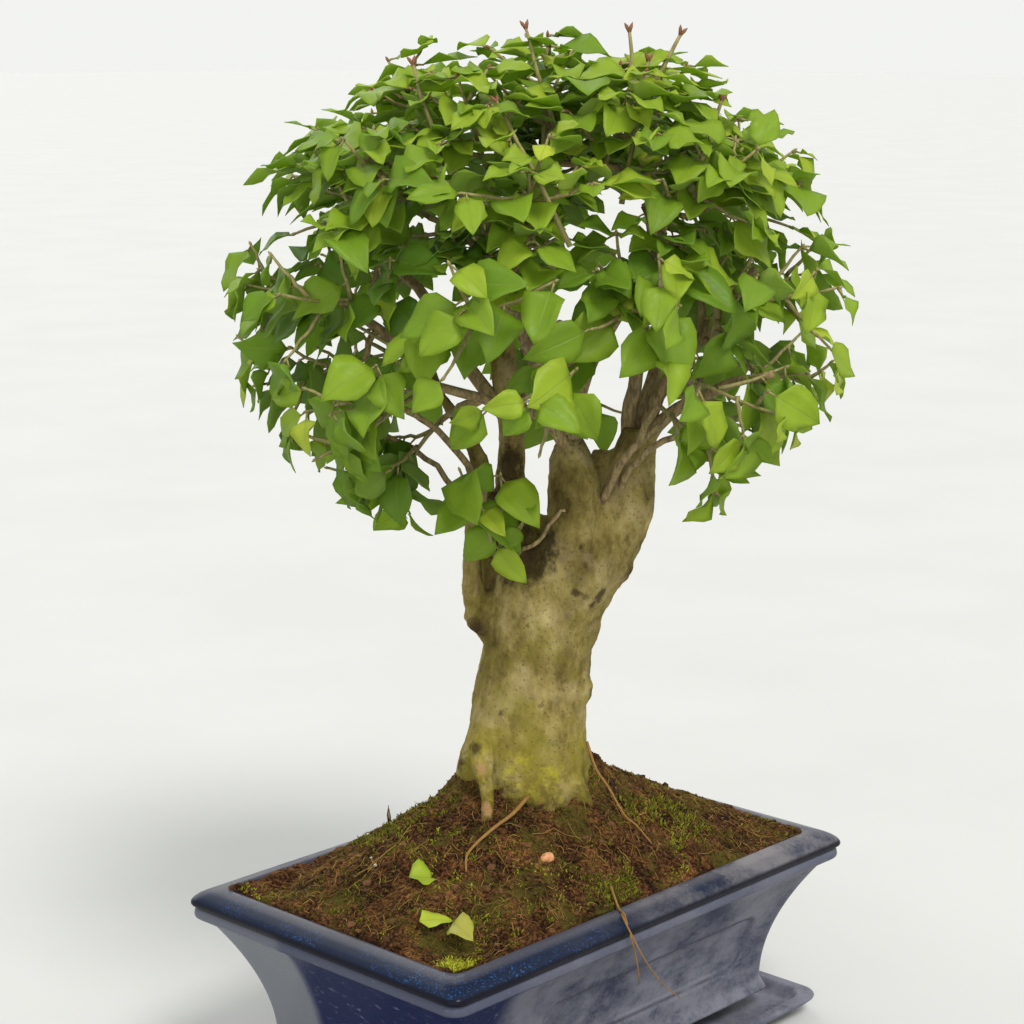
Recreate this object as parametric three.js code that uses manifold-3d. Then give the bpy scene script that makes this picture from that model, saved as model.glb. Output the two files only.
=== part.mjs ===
// A privet bonsai with a thick forked trunk, in a glazed rectangular pot on its saucer.
// Millimetres, +Z up. The origin is the centre of the saucer's underside, and +X runs along
// the pot's long side. The tree is set out in a frame of its own, turned to show its best
// side across a corner of the pot: its +X runs to the viewer's right and its +Y away.

import * as THREE from 'three';
import { mergeVertices } from 'three/addons/utils/BufferGeometryUtils.js';
import Module from 'manifold-3d';

const wasm = await Module();
wasm.setup();

// ---- Driving dimensions ----

const CLEARANCE = 0.3; // between pieces that touch

// Pot
const POT_LENGTH = 200; // over the lip
const POT_WIDTH = 127;
const POT_BODY_HEIGHT = 59.6; // underside of the body to the top of the rim
const POT_CORNER_RADIUS = 5;
const POT_WALL = 7;
const POT_FLOOR = 6;
const RIM_RISE = 5; // edge of the lip to the top of the rim
const RIM_WIDTH = 10; // edge of the lip to the opening
const LIP_BAND_HEIGHT = 4; // a band under the lip, between two grooves
const LIP_GROOVE = 1;
const WALL_LEAN = 20; // how far the wall curves in below the lip
const KICK_HEIGHT = 4.6; // the wall turns out again at its foot
const KICK_OUT = 2;
const FOOT_LENGTH = 24;
const FOOT_WIDTH = 18;
const FOOT_HEIGHT = 6;
const FOOT_SETBACK = 4;
const DRAIN_HOLE_DIAMETER = 14;
const DRAIN_HOLE_SPACING = 90;
const PANEL_LENGTH = 108; // sunk panel in each long side
const PANEL_OFFSET = 11; // it lies off centre, towards the same hand on both sides
const PANEL_TOP_DEPTH = 21; // below the lip
const PANEL_BOTTOM_DEPTH = 42;
const PANEL_SINK = 1.2;
const PANEL_RADIUS = 6;

// Saucer
const SAUCER_SETBACK = 4.8; // its edge, inside the pot's lip
const SAUCER_HEIGHT = 7.5;
const SAUCER_FLOOR = 3;
const SAUCER_RIM_WIDTH = 5;
const SAUCER_LEAN = 7.2;
const SAUCER_CORNER_RADIUS = 8;

// Drain screens, over the holes inside the pot
const SCREEN_SIDE = 24;
const SCREEN_THICKNESS = 1.2;
const SCREEN_CELLS = 4;
const SCREEN_BAR = 1.6;

// Soil
const SOIL_EDGE_HEIGHT = 3.5; // above the lip, where it meets the pot
const MOUND_HEIGHT = 42;
const MOUND_SHIFT = 1; // its top lies to the right of the middle
const HILL_SHARE = 0.54; // half width of the round hill that the mound becomes, of the pot's width
const SQUARE_EDGE = 5; // the higher, the nearer the edge the mound stays square
const MOUND_BULGE = 1.25; // the higher, the fuller the mound

// Tree, measured above the lip of the pot
const TREE_TURN = THREE.MathUtils.degToRad(-46.8);
const TREE_HEIGHT = 286;
const FORK_HEIGHT = 122;
const TRUNK_WIDTH = 42;
const ROOT_DEPTH = 12; // below the lip
const CANOPY_WIDTH = 208;
const CANOPY_DEPTH = 196;
const CANOPY_CROWN = 90; // widest level to the top
const CANOPY_SKIRT = 72; // widest level to the lowest leaves
const SPRAY_START = 0.62; // a spray's stem starts at this share of the way out
const TWIG_RADIUS = 1.5;
const STEM_RADIUS = 0.8;
const LEAF_LENGTH = 24;
const LEAF_WIDTH = 15;
const LEAF_THICKNESS = 0.6;

// ---- Levels and sizes that follow ----

const potUnderside = SAUCER_FLOOR + CLEARANCE + FOOT_HEIGHT;
const rimTop = potUnderside + POT_BODY_HEIGHT;
const lipLevel = rimTop - RIM_RISE;
const cavityFloor = potUnderside + POT_FLOOR;
const bodyDepth = POT_BODY_HEIGHT - RIM_RISE; // lip to the underside
const leanDepth = bodyDepth - KICK_HEIGHT;
const canopyCentre = new THREE.Vector3(0.04 * CANOPY_WIDTH / 2, 0, TREE_HEIGHT - CANOPY_CROWN);
const UP = new THREE.Vector3(0, 0, 1);

// ---- Solids ----

function solidOf(geometry) {
  const bare = geometry.clone();
  bare.deleteAttribute('normal');
  bare.deleteAttribute('uv');
  const merged = mergeVertices(bare, 1e-4);
  const mesh = new wasm.Mesh({
    numProp: 3,
    vertProperties: new Float32Array(merged.attributes.position.array),
    triVerts: new Uint32Array(merged.index.array),
  });
  return new wasm.Manifold(mesh);
}

function geometryOf(solid) {
  const mesh = solid.getMesh();
  const geometry = new THREE.BufferGeometry();
  geometry.setAttribute('position', new THREE.BufferAttribute(mesh.vertProperties, 3));
  geometry.setIndex(new THREE.BufferAttribute(mesh.triVerts, 1));
  geometry.computeVertexNormals();
  return geometry;
}

function joined(solids) {
  return solids.reduce((whole, solid) => whole.add(solid));
}

function centreOf(ring) {
  const sum = ring.reduce((total, point) => total.add(point), new THREE.Vector3());
  return sum.divideScalar(ring.length);
}

// A closed skin through rings of equal length, each counterclockwise seen against the
// direction in which the rings advance, with a fan over each end.
function loft(rings, firstCentre = centreOf(rings[0]), lastCentre = centreOf(rings.at(-1))) {
  const count = rings[0].length;
  const points = rings.flat();
  const first = points.push(firstCentre) - 1;
  const last = points.push(lastCentre) - 1;
  const faces = [];
  for (let i = 0; i < count; i++) {
    const next = (i + 1) % count;
    faces.push(first, next, i);
    for (let ring = 0; ring < rings.length - 1; ring++) {
      const low = ring * count;
      const high = low + count;
      faces.push(low + i, low + next, high + next);
      faces.push(low + i, high + next, high + i);
    }
    const top = (rings.length - 1) * count;
    faces.push(last, top + i, top + next);
  }
  const geometry = new THREE.BufferGeometry().setFromPoints(points);
  geometry.setIndex(faces);
  return solidOf(geometry);
}

function roundedRing(length, width, radius, level, stepsPerCorner = 3) {
  const ring = [];
  for (let corner = 0; corner < 4; corner++) {
    const across = corner === 0 || corner === 3 ? 1 : -1;
    const along = corner < 2 ? 1 : -1;
    for (let step = 0; step <= stepsPerCorner; step++) {
      const angle = (corner + step / stepsPerCorner) * Math.PI / 2;
      ring.push(new THREE.Vector3(
        across * (length / 2 - radius) + radius * Math.cos(angle),
        along * (width / 2 - radius) + radius * Math.sin(angle),
        level,
      ));
    }
  }
  return ring;
}

function box(length, width, low, high, x = 0, y = 0) {
  const geometry = new THREE.BoxGeometry(length, width, high - low);
  return solidOf(geometry.translate(x, y, (low + high) / 2));
}

// A tapered round bar through points, with a radius at each one. The extra thickens and
// lengthens it, for cutting a place for it.
function bar(points, radii, sides, extra = 0) {
  const directions = points.map((point, i) => {
    const before = points[Math.max(i - 1, 0)];
    const after = points[Math.min(i + 1, points.length - 1)];
    return after.clone().sub(before).normalize();
  });
  const side = new THREE.Vector3(1, 0, 0);
  if (Math.abs(directions[0].x) > 0.8) side.set(0, 1, 0);
  const rings = points.map((point, i) => {
    const along = directions[i];
    side.addScaledVector(along, -side.dot(along)).normalize();
    const other = along.clone().cross(side);
    const lengthening = i === 0 ? -extra : i === points.length - 1 ? extra : 0;
    const centre = point.clone().addScaledVector(along, lengthening);
    return Array.from({ length: sides }, (_, k) => {
      const angle = k / sides * 2 * Math.PI;
      return centre.clone()
        .addScaledVector(side, (radii[i] + extra) * Math.cos(angle))
        .addScaledVector(other, (radii[i] + extra) * Math.sin(angle));
    });
  });
  return loft(rings);
}

function lump(centre, halfLength, halfWidth, halfHeight, up = UP) {
  const geometry = new THREE.SphereGeometry(1, 8, 5);
  geometry.rotateX(Math.PI / 2).scale(halfLength, halfWidth, halfHeight);
  geometry.applyQuaternion(new THREE.Quaternion().setFromUnitVectors(UP, up));
  return solidOf(geometry.translate(centre.x, centre.y, centre.z));
}

// ---- Pot ----

function wallInset(depth) {
  if (depth > leanDepth) {
    return WALL_LEAN - KICK_OUT * (depth - leanDepth) / KICK_HEIGHT;
  }
  return WALL_LEAN * (1 - (1 - depth / leanDepth) ** 2);
}

function potRing(inset, depth, radius = POT_CORNER_RADIUS) {
  return roundedRing(POT_LENGTH - 2 * inset, POT_WIDTH - 2 * inset, radius, lipLevel - depth);
}

// The body's outside, all of it set in by the given amount.
function potBody(setIn) {
  const wallDepths = [bodyDepth, leanDepth, 0.84, 0.68, 0.54, 0.4, 0.27, 0.15]
    .map((depth) => (depth < 1 ? depth * leanDepth : depth));
  const wall = wallDepths.map((depth) => [wallInset(depth), depth]);
  const lip = [
    [2.6 * LIP_GROOVE, LIP_BAND_HEIGHT + LIP_GROOVE],
    [LIP_GROOVE, LIP_BAND_HEIGHT],
    [1.2 * LIP_GROOVE, 0.8 * LIP_GROOVE],
    [0, 0],
  ];
  const rim = [[0.6, -0.35 * RIM_RISE], [0.35 * RIM_WIDTH, -0.8 * RIM_RISE], [RIM_WIDTH, -RIM_RISE]];
  return loft([...wall, ...lip, ...rim].map(([inset, depth]) => potRing(inset + setIn, depth)));
}

function cavityInset(depth) {
  return Math.max(RIM_WIDTH, wallInset(Math.max(depth, 0)) + POT_WALL);
}

const cavityDepth = lipLevel - cavityFloor;
const cavityLevels = [1, 0.8, 0.6, 0.4, 0.2, 0.08].map((share) => share * cavityDepth);

function cavity(above) {
  const rings = cavityLevels.map((depth) => potRing(cavityInset(depth), depth));
  rings.push(potRing(RIM_WIDTH, -RIM_RISE - above));
  return loft(rings);
}

// The sunk panel's cutter: an outline with round corners and ends that lean as the pot's
// corners do, as far in as the panel is sunk.
function panelCutter() {
  const half = PANEL_LENGTH / 2;
  const lean = wallInset(PANEL_BOTTOM_DEPTH) - wallInset(PANEL_TOP_DEPTH);
  const corners = [
    [PANEL_OFFSET - half + lean, lipLevel - PANEL_BOTTOM_DEPTH],
    [PANEL_OFFSET + half - lean, lipLevel - PANEL_BOTTOM_DEPTH],
    [PANEL_OFFSET + half, lipLevel - PANEL_TOP_DEPTH],
    [PANEL_OFFSET - half, lipLevel - PANEL_TOP_DEPTH],
  ].map(([x, z]) => new THREE.Vector2(x, z));
  const shape = new THREE.Shape();
  corners.forEach((corner, i) => {
    const arrive = corners.at(i - 1).clone().sub(corner).setLength(PANEL_RADIUS).add(corner);
    const leave = corners[(i + 1) % 4].clone().sub(corner).setLength(PANEL_RADIUS).add(corner);
    if (i === 0) shape.moveTo(arrive.x, arrive.y);
    else shape.lineTo(arrive.x, arrive.y);
    shape.quadraticCurveTo(corner.x, corner.y, leave.x, leave.y);
  });
  const geometry = new THREE.ExtrudeGeometry(shape, {
    depth: POT_WIDTH / 2,
    bevelEnabled: false,
    curveSegments: 4,
  });
  return solidOf(geometry.rotateX(Math.PI / 2)).subtract(potBody(PANEL_SINK));
}

function footCentres() {
  const inset = wallInset(bodyDepth) + FOOT_SETBACK;
  const x = POT_LENGTH / 2 - inset - FOOT_LENGTH / 2;
  const y = POT_WIDTH / 2 - inset - FOOT_WIDTH / 2;
  return [[x, y], [-x, y], [-x, -y], [x, -y]];
}

function drainHole(side) {
  const radius = DRAIN_HOLE_DIAMETER / 2;
  const geometry = new THREE.CylinderGeometry(radius, radius, 3 * POT_FLOOR, 24);
  geometry.rotateX(Math.PI / 2);
  return solidOf(geometry.translate(side * DRAIN_HOLE_SPACING / 2, 0, potUnderside + POT_FLOOR / 2));
}

function potSolid() {
  const feet = footCentres().map(([x, y]) => box(
    FOOT_LENGTH, FOOT_WIDTH, potUnderside - FOOT_HEIGHT, potUnderside + POT_FLOOR / 2, x, y,
  ));
  const front = panelCutter();
  const back = front.rotate([0, 0, 180]);
  return joined([potBody(0), ...feet])
    .subtract(cavity(1))
    .subtract(front)
    .subtract(back)
    .subtract(drainHole(-1))
    .subtract(drainHole(1));
}

// ---- Saucer and drain screens ----

function saucerRing(inset, level, radius = SAUCER_CORNER_RADIUS) {
  const length = POT_LENGTH - 2 * SAUCER_SETBACK - 2 * inset;
  const width = POT_WIDTH - 2 * SAUCER_SETBACK - 2 * inset;
  return roundedRing(length, width, radius, level);
}

function saucerSolid() {
  const outside = loft([
    saucerRing(SAUCER_LEAN, 0),
    saucerRing(0.45 * SAUCER_LEAN, 0.35 * SAUCER_HEIGHT),
    saucerRing(0.1 * SAUCER_LEAN, 0.75 * SAUCER_HEIGHT),
    saucerRing(0, 0.88 * SAUCER_HEIGHT),
    saucerRing(0.6, SAUCER_HEIGHT),
  ]);
  const inside = loft([
    saucerRing(SAUCER_RIM_WIDTH + 2.5, SAUCER_FLOOR),
    saucerRing(SAUCER_RIM_WIDTH, SAUCER_HEIGHT),
    saucerRing(SAUCER_RIM_WIDTH, SAUCER_HEIGHT + 1),
  ]);
  return outside.subtract(inside);
}

function screenSolid() {
  const pitch = (SCREEN_SIDE - SCREEN_BAR) / SCREEN_CELLS;
  const middles = Array.from({ length: SCREEN_CELLS }, (_, i) => (i + 0.5 - SCREEN_CELLS / 2) * pitch);
  const cell = pitch - SCREEN_BAR;
  const holes = middles.flatMap((x) => middles.map((y) => (
    box(cell, cell, -1, SCREEN_THICKNESS + 1, x, y)
  )));
  return box(SCREEN_SIDE, SCREEN_SIDE, 0, SCREEN_THICKNESS).subtract(joined(holes));
}

// ---- Wood: trunk, limbs, branches, twigs and roots, grown as one ----

// A place in the tree's own frame: hundredths of the canopy's half width and half depth, and
// of the height from the fork to the top of the tree, which is below the fork when negative.
function place([across, away, up]) {
  return new THREE.Vector3(
    across / 100 * CANOPY_WIDTH / 2,
    away / 100 * CANOPY_DEPTH / 2,
    FORK_HEIGHT + up / 100 * (TREE_HEIGHT - FORK_HEIGHT),
  );
}

// Trunk sections: height in hundredths of the fork's height, then the centre and the two
// radii in hundredths of the trunk's width.
const trunkSections = [
  [0, -2, 0, 66, 61],
  [15, -2, 0, 62, 57],
  [25, -2, 0, 58, 54],
  [31, -2, 0, 54, 50],
  [41, 0, 0, 50, 46],
  [50, 1, 0, 48, 44],
  [65, 8, 0, 43, 42],
  [75, 11, 0, 45, 43],
  [85, 20, 1, 46, 43],
  [93, 30, 2, 46, 42],
  [100, 40, 4, 43, 39],
  [105, 42, 4, 34, 31],
];

function trunk(extra) {
  const size = TRUNK_WIDTH / 100;
  const sides = 16;
  const ringAt = (level, x, y, across, away) => Array.from({ length: sides }, (_, k) => {
    const angle = k / sides * 2 * Math.PI;
    return new THREE.Vector3(
      x * size + (across * size + extra) * Math.cos(angle),
      y * size + (away * size + extra) * Math.sin(angle),
      level,
    );
  });
  const rings = trunkSections.map(([height, ...section]) => (
    ringAt(height / 100 * FORK_HEIGHT, ...section)
  ));
  const [, ...root] = trunkSections[0];
  return loft([ringAt(-ROOT_DEPTH - extra, ...root), ...rings]);
}

// Each limb and branch: its places, and its radii in hundredths of the trunk's width.
const limbs = {
  right: {
    places: [[13, 1, -10], [23, 2, -2], [31, 2, 5], [36, 2, 12], [38, 2, 18]],
    radii: [31, 30, 26, 23, 20],
    sides: 14,
  },
  middle: {
    places: [[12, -6, -16], [13, -7, -7], [14, -7, 2], [14, -6, 10], [13, -5, 16]],
    radii: [21, 21, 20, 20, 17],
    sides: 12,
  },
  left: {
    places: [
      [-9, -2, -26], [-15, -2, -18], [-16, -2, -10], [-17, -1, -2], [-15, 0, 6],
      [-15, 1, 12], [-20, 2, 20], [-28, 3, 27], [-35, 4, 38],
    ],
    radii: [17, 14, 11, 10, 10, 9, 8, 6, 5],
    sides: 9,
  },
  back: {
    places: [[0, 8, -16], [-3, 11, -4], [-5, 13, 8], [-6, 14, 20], [-8, 15, 38], [-4, 14, 57]],
    radii: [21, 19, 17, 13, 10, 7],
    sides: 10,
  },
};

const branchPlaces = [
  [[-28, 3, 27], [-43, 0, 38], [-60, -6, 48]],
  [[-8, 15, 38], [-14, 26, 57], [-24, 36, 72]],
  [[-5, 14, 50], [5, 10, 69], [8, 5, 85]],
  [[13, -5, 13], [10, -8, 26], [-2, -18, 41], [-12, -35, 57]],
  [[14, -6, 11], [16, -10, 29], [25, -29, 43], [33, -49, 54]],
  [[37, 3, 15], [44, 4, 29], [60, 8, 41], [73, 10, 52]],
  [[35, 4, 14], [40, 10, 29], [46, 31, 45], [50, 51, 57]],
  [[35, 0, 13], [36, 0, 32], [38, -6, 54], [40, -8, 72]],
  [[-6, 14, 20], [-19, 14, 32], [-37, 29, 48], [-53, 46, 57]],
  [[13, -6, 11], [6, -12, 23], [-21, -31, 30], [-43, -49, 35]],
  [[36, 0, 13], [48, -8, 23], [63, -29, 30], [73, -45, 35]],
  [[-4, 12, 10], [-2, 34, 24], [6, 54, 32], [12, 70, 37]],
];
const BRANCH_RADII = [7, 6, 5, 4]; // hundredths of the trunk's width

// Knots: height in hundredths of the fork's height, bearing in degrees, size in hundredths
// of the trunk's width.
const knots = [
  [80, 188, 11],
  [70, 5, 10],
  [55, -4, 9],
  [84, -25, 11],
  [38, 215, 12],
];
const KNOT_OUT = 0.86; // its middle lies this share of the way out to the bark

function knotLump([height, bearing, size]) {
  const upper = trunkSections.findIndex(([level]) => level >= height);
  const [high, low] = [trunkSections[upper], trunkSections[upper - 1]];
  const share = (height - low[0]) / (high[0] - low[0]);
  const [x, y, across, away] = [1, 2, 3, 4].map((k) => (
    THREE.MathUtils.lerp(low[k], high[k], share) / 100 * TRUNK_WIDTH
  ));
  const angle = THREE.MathUtils.degToRad(bearing);
  const radius = size / 100 * TRUNK_WIDTH;
  const centre = new THREE.Vector3(
    x + KNOT_OUT * across * Math.cos(angle),
    y + KNOT_OUT * away * Math.sin(angle),
    height / 100 * FORK_HEIGHT,
  );
  return lump(centre, radius, radius, 1.2 * radius);
}

// Surface roots: bearing in degrees and reach in hundredths of the trunk's width.
const surfaceRoots = [[212, 84], [262, 72], [318, 86], [12, 78], [78, 86], [140, 86]];
const ROOT_REACH_SHARES = [0.34, 0.66, 0.84, 1];
const ROOT_HEIGHT_SHARES = [0.36, 0.28, 0.225, 0.12]; // of the fork's height
const ROOT_RADII = [19, 12, 8, 5];

function surfaceRoot([bearing, reach], extra) {
  const angle = THREE.MathUtils.degToRad(bearing);
  const points = ROOT_REACH_SHARES.map((share, i) => {
    const out = share * reach / 100 * TRUNK_WIDTH;
    const level = ROOT_HEIGHT_SHARES[i] * FORK_HEIGHT;
    return new THREE.Vector3(out * Math.cos(angle), out * Math.sin(angle), level);
  });
  return bar(points, ROOT_RADII.map((radius) => radius / 100 * TRUNK_WIDTH), 7, extra);
}

// A root that runs down the outside of the trunk into the soil.
const spur = {
  places: [[-13, -11, -38], [-15, -18, -45], [-14, -24, -53], [-13, -29, -63]],
  radii: [7, 10, 10, 7],
  sides: 7,
};

function stump(extra) {
  const spurRadii = spur.radii.map((radius) => radius / 100 * TRUNK_WIDTH);
  return joined([
    trunk(extra),
    bar(spur.places.map(place), spurRadii, spur.sides, extra),
    ...surfaceRoots.map((root) => surfaceRoot(root, extra)),
  ]);
}

const paths = branchPlaces.map((places) => places.map(place));

function nearestOnBranches(point) {
  let best = null;
  paths.forEach((path) => {
    for (let i = 0; i < path.length - 1; i++) {
      for (const share of [0.3, 0.6, 0.95]) {
        const candidate = path[i].clone().lerp(path[i + 1], share);
        const inward = candidate.distanceTo(canopyCentre) > point.distanceTo(canopyCentre) ? 40 : 0;
        const cost = candidate.distanceTo(point) + inward + (i === 0 ? 8 : 0);
        if (best === null || cost < best.cost) best = { candidate, cost };
      }
    }
  });
  return best.candidate;
}

// ---- Leaf sprays ----

// Rings of sprays over the canopy: elevation in degrees, how many go round, the first
// bearing, and how many are there. The lower rings leave the front open.
const sprayRings = [
  [90, 1, 0, 1],
  [61, 5, 20, 5],
  [35, 8, 0, 8],
  [10, 9, 16, 9],
  [-14, 8, 4, 8],
  [-35, 6, -35, 5],
  [-56, 1, 196, 1],
];

function sprayDirections() {
  return sprayRings.flatMap(([elevation, round, firstBearing, count]) => (
    Array.from({ length: count }, (_, k) => {
      const rise = THREE.MathUtils.degToRad(elevation);
      const bearing = THREE.MathUtils.degToRad(firstBearing) + k / round * 2 * Math.PI;
      return new THREE.Vector3(
        Math.cos(rise) * Math.cos(bearing), Math.cos(rise) * Math.sin(bearing), Math.sin(rise),
      );
    })
  ));
}

function canopyPoint(direction, share) {
  const height = direction.z > 0 ? CANOPY_CROWN : CANOPY_SKIRT;
  return new THREE.Vector3(
    direction.x * CANOPY_WIDTH / 2, direction.y * CANOPY_DEPTH / 2, direction.z * height,
  ).multiplyScalar(share).add(canopyCentre);
}

// A spray's stem: where it starts, where it ends, and which way is out. It rises where the
// canopy is high and hangs where it is low.
function stemOf(direction, index) {
  const start = canopyPoint(direction, SPRAY_START + 0.04 * Math.sin(5 * index));
  const end = canopyPoint(direction, 0.87 + 0.04 * Math.sin(3 * index));
  end.z -= 5 * (1 - Math.abs(direction.z));
  return { start, end };
}

const shootStem = {
  start: place([-12, -18, 0]),
  end: place([-17, -36, 12]),
};

function leafPlate(base, along, face, size, extra) {
  const length = size * LEAF_LENGTH + extra;
  const half = size * LEAF_WIDTH / 2 + extra;
  const thickness = LEAF_THICKNESS + 2 * extra;
  const outline = [
    [0, -STEM_RADIUS - extra], [0.42 * length, -half], [length, 0],
    [0.42 * length, half], [0, STEM_RADIUS + extra],
  ];
  const shape = new THREE.Shape(outline.map(([x, y]) => new THREE.Vector2(x, y)));
  const geometry = new THREE.ExtrudeGeometry(shape, { depth: thickness, bevelEnabled: false });
  geometry.translate(0, 0, -thickness / 2);
  const up = face.clone().addScaledVector(along, -face.dot(along)).normalize();
  const basis = new THREE.Matrix4().makeBasis(along, up.clone().cross(along), up);
  return solidOf(geometry.applyMatrix4(basis.setPosition(base)));
}

function boxesMeet(a, b) {
  const first = a.boundingBox();
  const second = b.boundingBox();
  return [0, 1, 2].every((k) => first.min[k] <= second.max[k] && second.min[k] <= first.max[k]);
}

function meets(solid, others) {
  return others.some((other) => boxesMeet(solid, other) && solid.intersect(other).volume() > 1e-6);
}

const ROLLS = [0, 28, -28, 56, -56, 84, -84, 115, -115];
const LEAF_STEPS = [0.35, 0.85]; // a pair of leaves at each, then one at the end
const LEAF_DROOP = 0.28;
const STEM_ARCH = 2;

// One spray: its stem with pairs of leaves, each pair turned a quarter from the last, and
// each leaf rolled aside until it is clear of everything that is already there.
function sprayAlong({ start, end }, index, obstacles) {
  const along = end.clone().sub(start).normalize();
  const bend = start.clone().lerp(end, 0.5).addScaledVector(UP, STEM_ARCH);
  const from = start.clone().addScaledVector(along, CLEARANCE);
  const radii = [1.2, 1, 0.7].map((share) => share * STEM_RADIUS);
  const stem = bar([from, bend, end], radii, 5);
  const outward = end.clone().sub(canopyCentre).normalize();
  const first = new THREE.Vector3().crossVectors(along, UP);
  if (first.length() < 0.2) first.set(1, 0, 0);
  first.normalize();
  const leaves = [];
  const grow = (share, turn, lean, size) => {
    const base = share < 0.5 ? from.clone().lerp(bend, 2 * share) : bend.clone().lerp(end, 2 * share - 1);
    for (const roll of ROLLS) {
      const angle = turn + THREE.MathUtils.degToRad(roll);
      const side = first.clone().applyAxisAngle(along, angle);
      const way = along.clone().multiplyScalar(lean).add(side.multiplyScalar(0.8));
      way.addScaledVector(UP, -LEAF_DROOP).normalize();
      const face = outward.clone().multiplyScalar(0.6).addScaledVector(UP, 0.8);
      if (meets(leafPlate(base, way, face, size, CLEARANCE), obstacles)) continue;
      leaves.push(leafPlate(base, way, face, size, 0));
      return;
    }
  };
  LEAF_STEPS.forEach((share, step) => {
    const turn = step * Math.PI / 2 + 0.5 * Math.sin(2 * index);
    const size = 0.9 + 0.12 * Math.sin(index + 2 * step);
    grow(share, turn, 0.35, size);
    grow(share + 0.07, turn + Math.PI, 0.35, size);
  });
  grow(0.97, 0.8 * Math.sin(index), 1.6, 0.85);
  return joined([stem, ...leaves]);
}

// A twig ends square to the stem that carries on from it.
function twigTo({ start, end }, from, startRadius) {
  const straight = end.clone().sub(start).setLength(4 * TWIG_RADIUS);
  const radii = [startRadius, TWIG_RADIUS, 0.8 * TWIG_RADIUS];
  return bar([from, start.clone().sub(straight), start], radii, 4);
}

function woodSolid(stems) {
  const thick = (share) => share / 100 * TRUNK_WIDTH;
  const limbBars = Object.values(limbs).map((limb) => (
    bar(limb.places.map(place), limb.radii.map(thick), limb.sides)
  ));
  const branchBars = paths.map((path) => (
    bar(path, path.map((_, i) => thick(BRANCH_RADII[i])), 6)
  ));
  const twigs = stems.map((stem) => twigTo(stem, nearestOnBranches(stem.start), 1.2 * TWIG_RADIUS));
  const shootTwig = twigTo(shootStem, place([-4, -8, -8]), 1.5 * TWIG_RADIUS);
  return joined([stump(0), ...knots.map(knotLump), ...limbBars, ...branchBars, ...twigs, shootTwig]);
}

// ---- Soil, and what lies on it ----

// The mound's surface lies on rings that go from the pot's rounded rectangle to a round
// hill. The lift makes it higher and wider, for cutting the underside of what rests on it.
function soilBlock(lift) {
  const inset = (depth) => cavityInset(depth) + CLEARANCE - lift;
  const walls = cavityLevels.map((depth, i) => {
    const level = i === 0 ? depth - CLEARANCE : depth;
    return potRing(inset(depth), level, POT_CORNER_RADIUS - CLEARANCE);
  });
  const edge = potRing(RIM_WIDTH + 2 * CLEARANCE - lift, -SOIL_EDGE_HEIGHT - lift);
  const turned = new THREE.Vector3(MOUND_SHIFT, 0, 0).applyAxisAngle(UP, TREE_TURN);
  const shares = [0.9, 0.78, 0.66, 0.54, 0.42, 0.3, 0.18, 0.08];
  const hill = shares.map((share) => edge.map((point) => {
    const bearing = Math.atan2(point.y / POT_WIDTH, point.x / POT_LENGTH);
    const roundPoint = new THREE.Vector3(
      HILL_SHARE * POT_LENGTH * Math.cos(bearing),
      HILL_SHARE * POT_WIDTH * Math.sin(bearing),
      point.z,
    );
    const blended = roundPoint.lerp(point, share ** SQUARE_EDGE);
    blended.sub(turned).multiplyScalar(share).add(turned);
    blended.z = point.z + MOUND_HEIGHT * (1 - share ** MOUND_BULGE);
    return blended;
  }));
  return loft([...walls, edge, ...hill]);
}

const LEAF_REST = 0.5; // a fallen leaf's middle above the soil

// Each patch: its place in the tree's frame, then its half sizes along the pot, across it
// and up from the soil.
const mossPatches = {
  moss_trunk_left: [-44, -12, 18, 16, 4],
  moss_trunk_right: [47, 2, 20, 15, 4],
  moss_trunk_front: [28, -41, 12, 8, 3],
  moss_rim_corner: [-22.5, -95.5, 6, 5, 3],
};
// Each leaf: its place in the tree's frame, its bearing in degrees, and its size as a share
// of a leaf on the tree.
const fallenLeaves = {
  fallen_leaf_green: [-30, -75, 20, 0.42],
  fallen_leaf_yellow: [-20.5, -83, -60, 0.45],
  fallen_leaf_dark: [-33.5, -54, 15, 0.4],
};
const pebble = [6, -42, 3, 2.4, 2.6];

// ---- Materials ----

function material(colour, roughness) {
  return new THREE.MeshStandardMaterial({ color: colour, roughness, metalness: 0 });
}

const materials = {
  glaze: material(0x2c3450, 0.15),
  soil: material(0x2e1e14, 0.95),
  bark: material(0x6e6348, 0.8),
  leaf: material(0x4f7f24, 0.5),
  moss: material(0x7c8424, 0.95),
  fallenGreen: material(0x7aa32c, 0.5),
  fallenYellow: material(0xb9b43a, 0.55),
  screen: material(0x1c1c1c, 0.7),
  stone: material(0xb2713f, 0.6),
};

// ---- Assembly ----

const group = new THREE.Group();
const tree = new THREE.Group();
tree.position.z = lipLevel;
tree.rotation.z = TREE_TURN;
group.add(tree);
tree.updateMatrixWorld(true);

function add(parent, name, solid, surface) {
  const mesh = new THREE.Mesh(geometryOf(solid), surface);
  mesh.name = name;
  parent.add(mesh);
  return mesh;
}

function turnedIntoPot(solid) {
  const degrees = THREE.MathUtils.radToDeg(TREE_TURN);
  return solid.rotate([0, 0, degrees]).translate([0, 0, lipLevel]);
}

add(group, 'saucer', saucerSolid(), materials.glaze);
add(group, 'pot', potSolid(), materials.glaze);

const screenLevel = cavityFloor + CLEARANCE;
const pocketSide = SCREEN_SIDE + 2 * CLEARANCE;
const pocketTop = screenLevel + SCREEN_THICKNESS + CLEARANCE;
const pockets = [['left', -1], ['right', 1]].map(([side, sign]) => {
  const x = sign * DRAIN_HOLE_SPACING / 2;
  add(group, `drain_screen_${side}`, screenSolid(), materials.screen).position.set(x, 0, screenLevel);
  return box(pocketSide, pocketSide, cavityFloor - 1, pocketTop, x, 0);
});

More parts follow.
